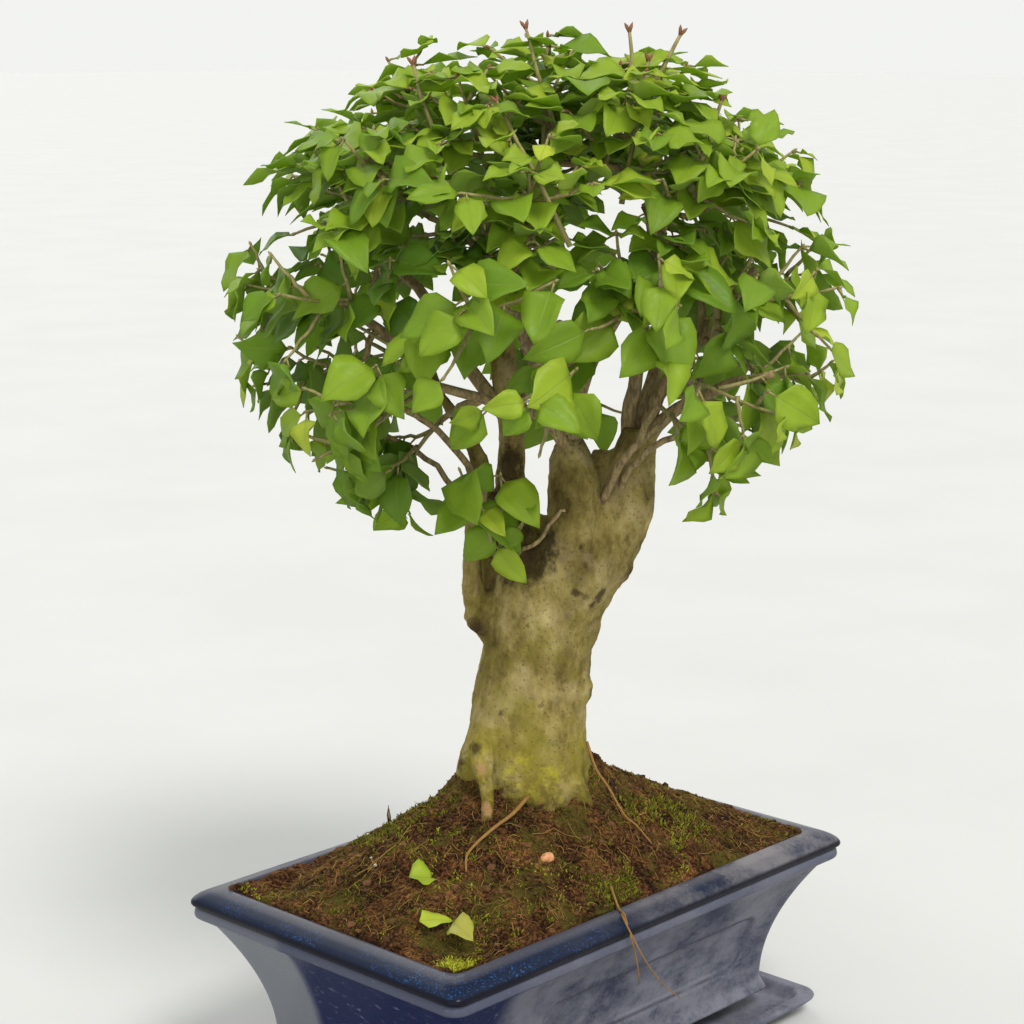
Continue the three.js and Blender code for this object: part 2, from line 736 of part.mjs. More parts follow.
const socket = turnedIntoPot(stump(CLEARANCE));
const soil = add(group, 'soil', soilBlock(0).subtract(joined([...pockets, socket])), materials.soil);

const stems = sprayDirections().map(stemOf);
const wood = woodSolid(stems);
add(tree, 'wood', wood, materials.bark);

const obstacles = [wood];
[...stems, shootStem].forEach((stem, index) => {
  const spray = sprayAlong(stem, index, obstacles);
  obstacles.push(spray);
  const label = stem === shootStem ? 'leaf_spray_trunk' : `leaf_spray_${String(index + 1).padStart(2, '0')}`;
  add(tree, label, spray, materials.leaf);
});

// A point of the soil's surface under a place in the tree's frame, with its upward normal.
function soilSurface(across, away) {
  const above = new THREE.Vector3(across, away, TREE_HEIGHT).applyMatrix4(tree.matrixWorld);
  const [hit] = new THREE.Raycaster(above, new THREE.Vector3(0, 0, -1)).intersectObject(soil);
  return { point: hit.point, normal: hit.face.normal };
}

const bed = joined([soilBlock(CLEARANCE), turnedIntoPot(stump(CLEARANCE))]);
const insideRim = loft([0, MOUND_HEIGHT + 3 * RIM_RISE].map((height) => (
  potRing(RIM_WIDTH + 2 * CLEARANCE, -height)
)));

function restingLump(across, away, halfLength, halfWidth, halfHeight) {
  const { point, normal } = soilSurface(across, away);
  return lump(point, halfLength, halfWidth, halfHeight, normal).intersect(insideRim).subtract(bed);
}

Object.entries(mossPatches).forEach(([name, patch]) => {
  add(group, name, restingLump(...patch), materials.moss);
});

add(group, 'pebble', restingLump(...pebble), materials.stone);

Object.entries(fallenLeaves).forEach(([name, [across, away, bearing, size]]) => {
  const { point, normal } = soilSurface(across, away);
  const way = new THREE.Vector3(1, 0, 0).applyAxisAngle(UP, THREE.MathUtils.degToRad(bearing));
  way.addScaledVector(normal, -way.dot(normal)).normalize();
  const middle = point.addScaledVector(normal, LEAF_REST + LEAF_THICKNESS / 2);
  const base = middle.addScaledVector(way, -size * LEAF_LENGTH / 2);
  const surface = name === 'fallen_leaf_yellow' ? materials.fallenYellow : materials.fallenGreen;
  add(group, name, leafPlate(base, way, normal, size, 0), surface);
});

export default group;
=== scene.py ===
import math
import random

import bmesh
import bpy
import numpy as np
from mathutils import Matrix, Vector, noise


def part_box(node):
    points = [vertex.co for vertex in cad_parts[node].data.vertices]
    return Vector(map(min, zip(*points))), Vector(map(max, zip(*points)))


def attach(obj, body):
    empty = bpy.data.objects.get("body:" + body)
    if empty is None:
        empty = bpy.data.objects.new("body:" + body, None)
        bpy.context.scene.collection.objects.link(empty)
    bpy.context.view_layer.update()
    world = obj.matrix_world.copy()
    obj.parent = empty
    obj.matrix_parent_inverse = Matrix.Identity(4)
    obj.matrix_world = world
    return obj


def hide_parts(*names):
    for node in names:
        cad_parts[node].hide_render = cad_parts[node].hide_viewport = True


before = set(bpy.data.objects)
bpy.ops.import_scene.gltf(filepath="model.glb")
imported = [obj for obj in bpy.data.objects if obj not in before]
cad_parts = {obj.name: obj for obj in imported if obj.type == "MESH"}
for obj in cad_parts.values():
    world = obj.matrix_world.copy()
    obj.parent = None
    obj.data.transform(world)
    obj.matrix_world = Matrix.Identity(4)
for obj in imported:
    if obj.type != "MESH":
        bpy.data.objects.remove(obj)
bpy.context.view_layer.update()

# Pieces are made in millimetres in the row frame and brought to metres when they are
# finished. The tree is set out in a frame of its own, turned on the pot: x to the right of
# its best side, y away, z up from the lip of the pot.

MM = 0.001
RIM_RISE = 5.0
TREE_TURN = math.radians(-46.8)
UP = Vector((0, 0, 1))


def box_mm(node):
    """A node's box in millimetres."""
    low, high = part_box(node)
    return low / MM, high / MM


def halves(low, high):
    """Half the length and half the width of a box."""
    return (high.x - low.x) / 2, (high.y - low.y) / 2


pot_low, pot_high = box_mm("pot")
saucer_low, saucer_high = box_mm("saucer")
soil_low, soil_high = box_mm("soil")
soil_half_length, soil_half_width = halves(soil_low, soil_high)
lip_level = pot_high.z - RIM_RISE
tree_frame = Matrix.Translation((0, 0, lip_level)) @ Matrix.Rotation(TREE_TURN, 4, "Z")
to_tree = tree_frame.inverted()


def in_tree(x, y, z):
    """A place of the tree's frame in the row frame."""
    return tree_frame @ Vector((x, y, z))


def put(name, data):
    """A new object in the scene."""
    made = bpy.data.objects.new(name, data)
    bpy.context.scene.collection.objects.link(made)
    return made


# ---- Camera, lights and floor ----

CAMERA_AIM = Vector((-5.3, 0, 0))
CAMERA_RISE = 124.7
CAMERA_DISTANCE = 794.0
CAMERA_PITCH = math.radians(11.4)
CAMERA_LENS = 80.5
CAMERA_SENSOR = 36
LIT_HEIGHT = 120
WORLD_COLOUR = (0.97, 0.98, 0.96, 1)
WORLD_STRENGTH = 0.92
FLOOR_HALF = 30


def make_camera():
    """The camera, in front of the tree's best side and looking a little down."""
    data = bpy.data.cameras.new("camera")
    data.lens = CAMERA_LENS
    data.sensor_width = CAMERA_SENSOR
    camera = put("camera", data)
    turn = Matrix.Rotation(TREE_TURN, 4, "Z") @ Matrix.Rotation(math.pi / 2 - CAMERA_PITCH, 4, "X")
    centre = Vector((0, 0, lip_level))
    offset = turn @ Vector((CAMERA_AIM.x, CAMERA_RISE, CAMERA_DISTANCE))
    camera.matrix_world = Matrix.Translation((centre + offset) * MM) @ turn
    bpy.context.scene.camera = camera


def make_light(name, kind, place, power, colour=(1, 1, 1), **size):
    """A light that looks at the tree from a place in the tree's frame."""
    data = bpy.data.lights.new(name, kind)
    data.energy = power
    data.color = colour
    for key, value in size.items():
        setattr(data, key, value)
    light = put(name, data)
    position = in_tree(*place) * MM
    away = position - in_tree(0, 0, LIT_HEIGHT) * MM
    light.matrix_world = Matrix.Translation(position) @ away.to_track_quat("Z", "Y").to_matrix().to_4x4()


make_camera()
make_light("key", "SUN", (330, -560, 950), 2.3, (1, 0.98, 0.93), angle=math.radians(20))
make_light("fill", "SUN", (-150, -800, 130), 1.2, (1, 0.99, 0.96), angle=math.radians(60))
make_light("back", "SUN", (-350, 700, 600), 1.0, (1, 1, 0.95), angle=math.radians(50))

world = bpy.data.worlds.new("studio")
world.use_nodes = True
backdrop = world.node_tree.nodes["Background"]
backdrop.inputs["Color"].default_value = WORLD_COLOUR
backdrop.inputs["Strength"].default_value = WORLD_STRENGTH
bpy.context.scene.world = world
bpy.context.scene.view_settings.view_transform = "Standard"


# ---- Materials ----


class Value:
    """A socket that takes part in sums."""

    def __init__(self, finish, socket):
        self.finish = finish
        self.socket = socket

    def _sum(self, operation, first, second):
        return self.finish.node("ShaderNodeMath", {"operation": operation}, {0: first, 1: second})

    def __add__(self, other):
        return self._sum("ADD", self, other)

    def __mul__(self, other):
        return self._sum("MULTIPLY", self, other)

    def __sub__(self, other):
        return self._sum("SUBTRACT", self, other)

    def __rsub__(self, other):
        return self._sum("SUBTRACT", other, self)

    def __abs__(self):
        return self._sum("ABSOLUTE", self, 0.0)

    __radd__ = __add__
    __rmul__ = __mul__

    def step(self, low, high):
        """0 below low, 1 above high, and smooth between. With low above high it falls."""
        return self.finish.node(
            "ShaderNodeMapRange",
            {"interpolation_type": "SMOOTHSTEP"},
            {"Value": self, "From Min": low, "From Max": high},
        )


class Finish:
    """A material and the ways its nodes are made."""

    def __init__(self, name, roughness=0.5, **constants):
        self.material = bpy.data.materials.new(name)
        self.material.use_nodes = True
        self.tree = self.material.node_tree
        self.shader = self.tree.nodes["Principled BSDF"]
        self.output = self.tree.nodes["Material Output"]
        self.shader.inputs["Roughness"].default_value = roughness
        for socket, value in constants.items():
            self.shader.inputs[socket.replace("_", " ")].default_value = value
        self.place = self.node("ShaderNodeTexCoord", output="Object")

    def node(self, kind, settings=None, sockets=None, output=0):
        """A node with its settings and inputs, linked or set; gives one of its outputs."""
        made = self.tree.nodes.new(kind)
        for key, value in (settings or {}).items():
            if key == "stops":
                self._stops(made.color_ramp, value)
            else:
                setattr(made, key, value)
        for key, value in (sockets or {}).items():
            if isinstance(value, Value):
                self.tree.links.new(value.socket, made.inputs[key])
            else:
                made.inputs[key].default_value = value
        return Value(self, made.outputs[output])

    @staticmethod
    def _stops(ramp, stops):
        while len(ramp.elements) < len(stops):
            ramp.elements.new(1.0)
        for element, (position, colour) in zip(ramp.elements, stops):
            element.position = position
            element.color = (*colour, 1)

    def level(self, axis="Z"):
        """How far along an axis, in millimetres."""
        return self.node("ShaderNodeSeparateXYZ", None, {0: self.place}, axis) * (1 / MM)

    def noise(self, size, detail=3.0, stretch=(1, 1, 1), roughness=0.55):
        """Noise with features of about the given size in millimetres."""
        scale = tuple(1 / (MM * size * s) for s in stretch)
        placed = self.node("ShaderNodeMapping", None, {"Vector": self.place, "Scale": scale})
        return self.node(
            "ShaderNodeTexNoise", None,
            {"Vector": placed, "Scale": 1.0, "Detail": detail, "Roughness": roughness},
        )

    def cells(self, size):
        """The distance from the nearest of many scattered points."""
        scale = (1 / (MM * size),) * 3
        placed = self.node("ShaderNodeMapping", None, {"Vector": self.place, "Scale": scale})
        return self.node("ShaderNodeTexVoronoi", None, {"Vector": placed, "Scale": 1.0})

    def attribute(self, name):
        """A mark that the mesh carries at its points."""
        return self.node("ShaderNodeAttribute", {"attribute_name": name}, output="Fac")

    def ramp(self, value, *stops):
        return self.node("ShaderNodeValToRGB", {"stops": stops}, {0: value})

    def mix(self, factor, first, second):
        """The second colour over the first, by the factor."""
        first, second = ((*c, 1) if isinstance(c, tuple) else c for c in (first, second))
        return self.node("ShaderNodeMix", {"data_type": "RGBA"}, {0: factor, 6: first, 7: second}, 2)

    def coats(self, colour, *coats):
        """Colours laid one after another over the first, each by its factor."""
        for factor, coat in coats:
            colour = self.mix(factor, colour, coat)
        return colour

    def feed(self, **sockets):
        """Links values that vary to the inputs of the surface."""
        for key, value in sockets.items():
            self.tree.links.new(value.socket, self.shader.inputs[key.replace("_", " ")])

    def bump(self, height, distance, strength=1.0):
        """Relief of the given height in millimetres."""
        made = self.node(
            "ShaderNodeBump", None,
            {"Height": height, "Distance": distance * MM, "Strength": strength},
        )
        self.feed(Normal=made)


def glaze_finish():
    """Navy glaze that breaks to slate grey where it ran thin, with cobalt specks on the rim."""
    finish = Finish("navy_glaze", 0.25, IOR=1.13, Coat_Weight=0.07, Coat_Roughness=0.05)
    level = finish.level()
    along = finish.level("X")
    across = finish.level("Y")
    runs = finish.noise(7, 6, (1.6, 1.6, 1), 0.66)
    clouds = finish.noise(34, 3)
    fine = finish.noise(1.3, 4, (1, 1, 1), 0.7)
    thin = (runs * 0.45 + clouds * 0.55 + fine * 0.2).step(0.48, 0.74)
    # The end wall is smooth grey towards one corner and deep blue towards the other.
    end_wall = along.step(-62, -74)
    blue_end = end_wall * across.step(20, 14)
    grey_end = end_wall * across.step(14, 20)
    streaks = finish.noise(3.2, 6, (0.5, 1.6, 0.8), 0.72).step(0.56, 0.72)
    wall = finish.coats(
        (0.042, 0.047, 0.078),
        (thin, (0.160, 0.163, 0.196)),
        (grey_end, (0.165, 0.175, 0.200)),
        (blue_end, (0.016, 0.021, 0.066)),
        (blue_end * streaks * 0.75, (0.17, 0.18, 0.26)),
    )
    top = level.step(lip_level + 0.2, lip_level + 1.6)
    near_corner = along.step(-20, -80) * across.step(-20, -50)
    specks = finish.noise(0.8, 3, (1, 1, 1), 0.8).step(0.55, 0.66)
    patches = finish.noise(16, 3).step(0.44, 0.60)
    cobalt = specks * (patches * 0.55 + near_corner * 0.45)
    worn = level.step(pot_high.z - 1.2, pot_high.z - 0.2) * 0.3 + along.step(-60, 50) * thin * 0.8
    rim = finish.coats((0.010, 0.015, 0.034), (cobalt, (0.030, 0.125, 0.36)), (worn, (0.165, 0.155, 0.165)))
    # Painted reflection: the band below the lip is painted lighter, as if it caught the light from above.
    band_reflection = level.step(lip_level - 4.6, lip_level - 3.9) * level.step(lip_level - 0.6, lip_level - 1.3)
    # Painted shade: a near-black line in the undercut beneath the lip.
    lip_shade_line = level.step(lip_level - 1.5, lip_level - 0.9) * level.step(lip_level + 2.3, lip_level + 1.1)
    # Painted shade: a dark line in the groove below the band.
    groove_shade = level.step(lip_level - 6.6, lip_level - 5.6) * level.step(lip_level - 4.3, lip_level - 5.0)
    # Painted shade: a dark line along the sloped edge of each sunk panel, broken up where the glaze runs.
    edge = finish.attribute("panel_edge") * (0.4 + runs).step(0.7, 1.0)
    colour = finish.coats(
        wall,
        (top, rim),
        (band_reflection * 0.7, (0.090, 0.097, 0.130)),
        (lip_shade_line * 0.92, (0.006, 0.006, 0.010)),
        (groove_shade * 0.75, (0.012, 0.016, 0.045)),
        (edge * 0.8, (0.020, 0.020, 0.032)),
    )
    finish.feed(Base_Color=colour, Roughness=0.24 + thin * 0.18)
    finish.bump(finish.noise(12, 2) + fine * 0.12, 0.22)
    return finish.material


def bark_finish():
    """Smooth olive-grey bark, mottled and pored, with a green bloom towards the soil."""
    finish = Finish("privet_bark", 0.85, Specular_IOR_Level=0.12)
    level = finish.level() - lip_level
    broad = finish.noise(13, 5, (1, 1, 1.3), 0.6)
    grain = finish.noise(2.4, 6, (1, 1, 1.9), 0.68)
    pores = finish.cells(1.9).step(0.10, 0.26)
    blots = finish.noise(4.5, 5, (1, 1, 1.2), 0.62).step(0.60, 0.72)
    flecks = finish.noise(1.1, 4, (1, 1, 1.2), 0.75).step(0.56, 0.66)
    pale = finish.noise(17, 5).step(0.50, 0.64)
    olive = finish.noise(11, 4).step(0.44, 0.62) * level.step(140, 60)
    green = level.step(70, 42) * finish.noise(9, 6, (1, 1, 1.3), 0.65).step(0.36, 0.60)
    lichen = level.step(60, 46) * finish.noise(8, 7, (1, 1, 1), 0.75).step(0.50, 0.66)
    foot = level.step(52, 30) * finish.noise(5, 5, (1, 1, 1), 0.7).step(0.42, 0.58)
    ragged = finish.noise(3.2, 5, (1, 1, 1), 0.7) - 0.5
    # Dark stains, and painted shade in the hollows, clefts and cavities and on the back limb.
    dark = (finish.attribute("stain") + ragged * 1.9).step(0.25, 0.95)
    scar = (finish.attribute("scar") + ragged * 1.2).step(0.2, 1.0)
    mottle = finish.ramp(
        broad * 0.72 + grain * 0.28,
        (0.34, (0.064, 0.044, 0.012)),
        (0.45, (0.160, 0.122, 0.034)),
        (0.54, (0.280, 0.220, 0.072)),
        (0.66, (0.43, 0.355, 0.15)),
    )
    colour = finish.coats(
        mottle,
        (pale * 0.4, (0.36, 0.285, 0.15)),
        (blots * 0.65, (0.090, 0.068, 0.024)),
        (flecks * 0.45, (0.085, 0.066, 0.028)),
        ((1 - pores) * 0.4, (0.085, 0.065, 0.03)),
        (olive * 0.45, (0.190, 0.165, 0.022)),
        (green * 0.75, (0.195, 0.165, 0.014)),
        (lichen * 0.6, (0.38, 0.34, 0.030)),
        (foot * 0.75, (0.075, 0.050, 0.012)),
        (level.step(40, 30) * 0.6, (0.060, 0.042, 0.010)),
        (dark * 0.85, (0.036, 0.022, 0.009)),
        (scar * 0.7, (0.36, 0.20, 0.095)),
    )
    finish.feed(Base_Color=colour, Roughness=0.74 + grain * 0.2)
    finish.bump(grain * 0.8 + pores * 0.3 + finish.noise(0.8, 3) * 0.25 - blots * 0.3, 0.6)
    return finish.material


def twig_finish():
    """Young wood: tan and olive, browner where it is older and redder at the buds."""
    finish = Finish("young_wood", 0.7)
    grain = finish.noise(1.2, 4, (1, 1, 3))
    old = finish.attribute("age").step(0.2, 0.9)
    young = finish.ramp(grain, (0.35, (0.17, 0.16, 0.045)), (0.65, (0.29, 0.25, 0.09)))
    aged = finish.ramp(grain, (0.35, (0.13, 0.09, 0.034)), (0.65, (0.34, 0.25, 0.11)))
    colour = finish.mix(old, young, aged)
    colour = finish.mix(finish.attribute("bud").step(0.3, 0.8), colour, (0.19, 0.075, 0.03))
    finish.feed(Base_Color=colour)
    finish.bump(grain, 0.2)
    return finish.material


def leaf_finish(name, shades, glow):
    """A leathery leaf: its shade from deep to sunlit green, a pale midrib, a paler underside."""
    finish = Finish(name, 0.48, Specular_IOR_Level=0.28)
    uv = finish.node("ShaderNodeUVMap", {"uv_map": "leaf"})
    across = finish.node("ShaderNodeSeparateXYZ", None, {0: uv}, "X") - 0.5
    along = finish.node("ShaderNodeSeparateXYZ", None, {0: uv}, "Y")
    tone = finish.attribute("shade") + finish.noise(5, 3) * 0.2 - 0.1
    colour = finish.ramp(tone, *shades)
    rib = abs(across).step(0.035, 0.012)
    lean = along * 7 - abs(across) * 5
    veins = finish.node("ShaderNodeMath", {"operation": "FRACT"}, {0: lean})
    veins = abs(veins - 0.5).step(0.09, 0.0) * 0.35
    marks = finish.node("ShaderNodeMath", {"operation": "MAXIMUM"}, {0: rib, 1: veins})
    colour = finish.mix(marks * 0.3, colour, (0.34, 0.42, 0.09))
    under = finish.attribute("under").step(0.4, 0.6)
    pale = finish.mix(0.5, colour, (0.28, 0.38, 0.12))
    colour = finish.mix(under, colour, pale)
    finish.feed(Base_Color=colour, Roughness=0.44 + under * 0.3)
    finish.bump(1 - marks, 0.12)
    light = finish.node("ShaderNodeBsdfTranslucent", None, {"Color": (*glow, 1)}, "BSDF")
    both = finish.node("ShaderNodeMixShader", None, {0: 0.45, 2: light}, "Shader")
    finish.tree.links.new(finish.shader.outputs[0], both.socket.node.inputs[1])
    finish.tree.links.new(both.socket, finish.output.inputs["Surface"])
    return finish.material


def soil_finish():
    """Crumbly brown soil with a thin mossy film; marks on the grains tint or whiten them."""
    finish = Finish("potting_soil", 0.95, Specular_IOR_Level=0.08)
    grit = finish.noise(1.3, 6, roughness=0.7)
    patches = finish.noise(12, 4)
    colour = finish.ramp(
        grit * 0.6 + patches * 0.4,
        (0.41, (0.008, 0.003, 0.001)),
        (0.49, (0.040, 0.017, 0.007)),
        (0.56, (0.130, 0.055, 0.018)),
        (0.66, (0.34, 0.17, 0.062)),
    )
    mossy = (finish.noise(15, 4) + finish.noise(2.2, 4) * 0.35).step(0.66, 0.82)
    colour = finish.coats(
        colour,
        (mossy * 0.7, (0.085, 0.078, 0.012)),
        (finish.attribute("tint"), (0.17, 0.085, 0.042)),
        (finish.attribute("white"), (0.6, 0.58, 0.5)),
    )
    finish.feed(Base_Color=colour)
    finish.bump(grit + finish.noise(3.5, 4), 1.3)
    return finish.material


def thread_finish():
    """Dead rootlets, from straw to rust."""
    finish = Finish("dry_rootlets", 0.8, Specular_IOR_Level=0.1)
    colour = finish.ramp(
        finish.attribute("tint"),
        (0.0, (0.060, 0.024, 0.008)),
        (0.45, (0.15, 0.066, 0.020)),
        (0.8, (0.30, 0.18, 0.055)),
        (1.0, (0.26, 0.22, 0.030)),
    )
    worn = finish.noise(1.5, 3).step(0.4, 0.7) * 0.35
    finish.feed(Base_Color=finish.mix(worn, colour, (0.34, 0.21, 0.07)))
    return finish.material


def moss_finish():
    """Moss, from brown at the darkest to a fresh yellow green."""
    finish = Finish("moss", 0.9, Specular_IOR_Level=0.08)
    colour = finish.ramp(
        finish.attribute("tint") + finish.noise(4, 3) * 0.3 - 0.15,
        (0.0, (0.040, 0.032, 0.008)),
        (0.35, (0.090, 0.086, 0.012)),
        (0.7, (0.21, 0.21, 0.018)),
        (1.0, (0.42, 0.43, 0.035)),
    )
    finish.feed(Base_Color=colour)
    return finish.material


def plain_finish(name, low, high, roughness, size):
    """Two near colours in a fine mottle, for small hard pieces and the floor."""
    finish = Finish(name, roughness)
    mottle = finish.noise(size, 4)
    finish.feed(Base_Color=finish.ramp(mottle, (0.35, low), (0.65, high)))
    finish.bump(mottle, 0.1)
    return finish.material


LEAF_SHADES = (
    (0.0, (0.085, 0.180, 0.018)),
    (0.3, (0.165, 0.285, 0.022)),
    (0.6, (0.300, 0.430, 0.028)),
    (1.0, (0.560, 0.640, 0.055)),
)
YELLOW_SHADES = (
    (0.0, (0.30, 0.31, 0.05)),
    (1.0, (0.62, 0.58, 0.12)),
)
glaze = glaze_finish()
bark = bark_finish()
young_wood = twig_finish()
leaf_green = leaf_finish("privet_leaf", LEAF_SHADES, (0.44, 0.62, 0.03))
leaf_yellow = leaf_finish("fallen_leaf", YELLOW_SHADES, (0.6, 0.6, 0.1))
soil_brown = soil_finish()
rootlet = thread_finish()
moss_green = moss_finish()
stone = plain_finish("orange_stone", (0.42, 0.17, 0.07), (0.62, 0.30, 0.13), 0.7, 1.2)
mesh_black = plain_finish("black_plastic", (0.012, 0.012, 0.012), (0.025, 0.025, 0.026), 0.6, 3)
floor_pale = plain_finish("pale_floor", (0.490, 0.495, 0.488), (0.510, 0.515, 0.508), 0.9, 160)


# ---- Shapes ----


def finish_mesh(name, mesh, material, nodes=(), smooth=True):
    """Makes a mesh, in millimetres, a finished piece of the object."""
    mesh.transform(Matrix.Scale(MM, 4))
    mesh.materials.clear()
    mesh.materials.append(material)
    mesh.polygons.foreach_set("use_smooth", [smooth] * len(mesh.polygons))
    piece = put(name, mesh)
    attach(piece, "root")
    if nodes:
        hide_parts(*nodes)
    return piece


def rows_of(items, key):
    """A vector of each item, as the rows of an array."""
    flat = np.empty(len(items) * 3)
    items.foreach_get(key, flat)
    return flat.reshape(-1, 3)


def points_of(mesh):
    return rows_of(mesh.vertices, "co")


def normals_of(mesh):
    return rows_of(mesh.vertex_normals, "vector")


def move_points(mesh, points):
    mesh.vertices.foreach_set("co", points.ravel())


def set_mark(mesh, name, values):
    """A value at each point of a mesh, which its material reads by name."""
    layer = mesh.attributes.new(name, "FLOAT", "POINT")
    layer.data.foreach_set("value", np.asarray(values, dtype=np.float32))


def shape_from(shape):
    """The points and faces of a small bmesh shape, which is then freed."""
    shape.verts.ensure_lookup_table()
    points = np.array([vert.co[:] for vert in shape.verts])
    faces = [[vert.index for vert in face.verts] for face in shape.faces]
    shape.free()
    return points, faces


def mesh_from(shape, name):
    """A mesh of a bmesh shape, which is then freed."""
    mesh = bpy.data.meshes.new(name)
    shape.to_mesh(mesh)
    shape.free()
    return mesh


def eased(share):
    """A share from 0 to 1 that starts and ends gently."""
    return share * share * (3 - 2 * share)


class Heap:
    """Many bent copies of small shapes, gathered into one mesh."""

    def __init__(self):
        self.points = []
        self.faces = []
        self.marks = {}
        self.uv = []
        self.count = 0

    def add(self, points, faces, uv=None, **marks):
        """One more copy, with a value for each mark at each point or for all of them."""
        self.points.append(points)
        self.faces.extend([[index + self.count for index in face] for face in faces])
        self.uv.append(np.zeros((len(points), 2)) if uv is None else uv)
        for mark, value in marks.items():
            self.marks.setdefault(mark, []).append(np.broadcast_to(value, len(points)))
        self.count += len(points)

    def mesh(self, name, uv_map=None):
        mesh = bpy.data.meshes.new(name)
        mesh.from_pydata(np.concatenate(self.points).tolist(), [], self.faces)
        for mark, values in self.marks.items():
            set_mark(mesh, mark, np.concatenate(values))
        if uv_map:
            corners = np.empty(len(mesh.loops), dtype=np.int32)
            mesh.loops.foreach_get("vertex_index", corners)
            layer = mesh.uv_layers.new(name=uv_map)
            layer.data.foreach_set("uv", np.concatenate(self.uv)[corners].ravel())
        return mesh


def rod_shape(sides, steps):
    """A closed round rod of radius 1, from z = 0 to z = steps, with a ring at each step."""
    shape = bmesh.new()
    made = bmesh.ops.create_cone(
        shape, cap_ends=True, cap_tris=True, segments=sides, radius1=1, radius2=1, depth=steps,
    )
    bmesh.ops.translate(shape, vec=(0, 0, steps / 2), verts=made["verts"])
    for step in range(1, steps):
        bmesh.ops.bisect_plane(
            shape, geom=shape.verts[:] + shape.edges[:] + shape.faces[:],
            plane_co=(0, 0, step), plane_no=(0, 0, 1),
        )
    return shape_from(shape)


rods = {}


def rod_along(heap, path, radii, sides=6, **marks):
    """A tapered rod whose rings follow the points of a path."""
    steps = len(path) - 1
    if (sides, steps) not in rods:
        rods[sides, steps] = rod_shape(sides, steps)
    shape, faces = rods[sides, steps]
    path = [Vector(point) for point in path]
    side = Vector((0.31, 0.83, 0.47))
    bent = np.empty_like(shape)
    ring = np.rint(shape[:, 2]).astype(int)
    for step, point in enumerate(path):
        along = (path[min(step + 1, steps)] - path[max(step - 1, 0)]).normalized()
        side = (side - along * side.dot(along)).normalized()
        other = along.cross(side)
        on_ring = ring == step
        flat = shape[on_ring, :2] * radii[step]
        bent[on_ring] = np.array(point) + flat[:, :1] * np.array(side) + flat[:, 1:] * np.array(other)
    heap.add(bent, faces, **{k: (np.asarray(v)[ring] if np.ndim(v) else v) for k, v in marks.items()})


def smooth_path(points, steps=4):
    """Points along a curve that goes through the given ones."""
    points = [Vector(point) for point in points]
    ends = [points[0] * 2 - points[1], *points, points[-1] * 2 - points[-2]]
    curve = []
    for k in range(1, len(ends) - 2):
        a, b, c, d = ends[k - 1:k + 3]
        for step in range(steps):
            t = step / steps
            curve.append(0.5 * (
                2 * b + (c - a) * t + (2 * a - 5 * b + 4 * c - d) * t * t
                + (3 * b - a - 3 * c + d) * t * t * t
            ))
    return [*curve, points[-1]]


def spread(values, steps=4):
    """The values that go with the points of smooth_path."""
    positions = np.arange((len(values) - 1) * steps + 1) / steps
    return np.interp(positions, np.arange(len(values)), values)


# ---- Pot and saucer ----


def rounded_rectangle(turn, half_length, half_width, radius):
    """Points round a rectangle with round corners, for turns from 0 to 1, evenly spaced."""
    long_side = 2 * (half_length - radius)
    short_side = 2 * (half_width - radius)
    arc = radius * math.pi / 2
    total = 2 * (long_side + short_side) + 4 * arc
    x = np.zeros_like(turn)
    y = np.zeros_like(turn)
    at = turn * total
    corners = ((1, -1, 0), (1, 1, 90), (-1, 1, 180), (-1, -1, 270))
    sides = (short_side, long_side, short_side, long_side)
    begin = 0.0
    for (sx, sy, heading), before, following in zip(corners, (0, *sides[:3]), sides):
        begin += before
        share = np.clip((at - begin) / arc, 0, 1)
        angle = np.radians(heading - 90 + 90 * share)
        inside = (at >= begin) & (at <= begin + arc)
        cx, cy = sx * (half_length - radius), sy * (half_width - radius)
        x = np.where(inside, cx + radius * np.cos(angle), x)
        y = np.where(inside, cy + radius * np.sin(angle), y)
        after = (at > begin + arc) & (at < begin + arc + following)
        run = at - begin - arc
        direction = math.radians(heading)
        end_x, end_y = cx + radius * math.cos(direction), cy + radius * math.sin(direction)
        x = np.where(after, end_x - run * math.sin(direction), x)
        y = np.where(after, end_y + run * math.cos(direction), y)
        begin += arc
    return x, y


def turned_box(name, profile, half_length, half_width, around):
    """A vessel with round corners. The profile goes from the middle of its underside, up the
    outside, over the rim and down to the middle of its floor: at each point an inset, a
    level, and a corner radius; an inset of None is the middle."""
    shape = bmesh.new()
    rows = len(profile) - 1
    bmesh.ops.create_grid(shape, x_segments=around, y_segments=rows, size=0.5)
    points = np.array([vert.co[:] for vert in shape.verts])
    turn = np.where(points[:, 0] > 0.4999, 0.0, points[:, 0] + 0.5)
    row = np.rint((points[:, 1] + 0.5) * rows).astype(int)
    for index, (inset, level, radius) in enumerate(profile):
        on_row = row == index
        points[on_row, 2] = level
        if inset is None:
            points[on_row, 0] = points[on_row, 1] = 0
            continue
        x, y = rounded_rectangle(turn[on_row], half_length - inset, half_width - inset, radius)
        points[on_row, 0], points[on_row, 1] = x, y
    for vert, point in zip(shape.verts, points):
        vert.co = point
    bmesh.ops.remove_doubles(shape, verts=shape.verts[:], dist=0.001)
    bmesh.ops.recalc_face_normals(shape, faces=shape.faces[:])
    return mesh_from(shape, name)


FOOT_HEIGHT = 6.0
BODY_DEPTH = lip_level - pot_low.z - FOOT_HEIGHT
LEAN_DEPTH = BODY_DEPTH - 4.6
WALL_LEAN = 20.0
POT_WALL = 7.0
POT_FLOOR = 6.0
CORNER = 5.0
FOOT_SIZE = Vector((24, 18, 7))
FOOT_INSET = WALL_LEAN + 2
FOOT_BEVEL = 1.2
DRAIN_OFFSET = 45
DRAIN_RADIUS = 7
POT_COLUMNS = 560
SAUCER_COLUMNS = 320


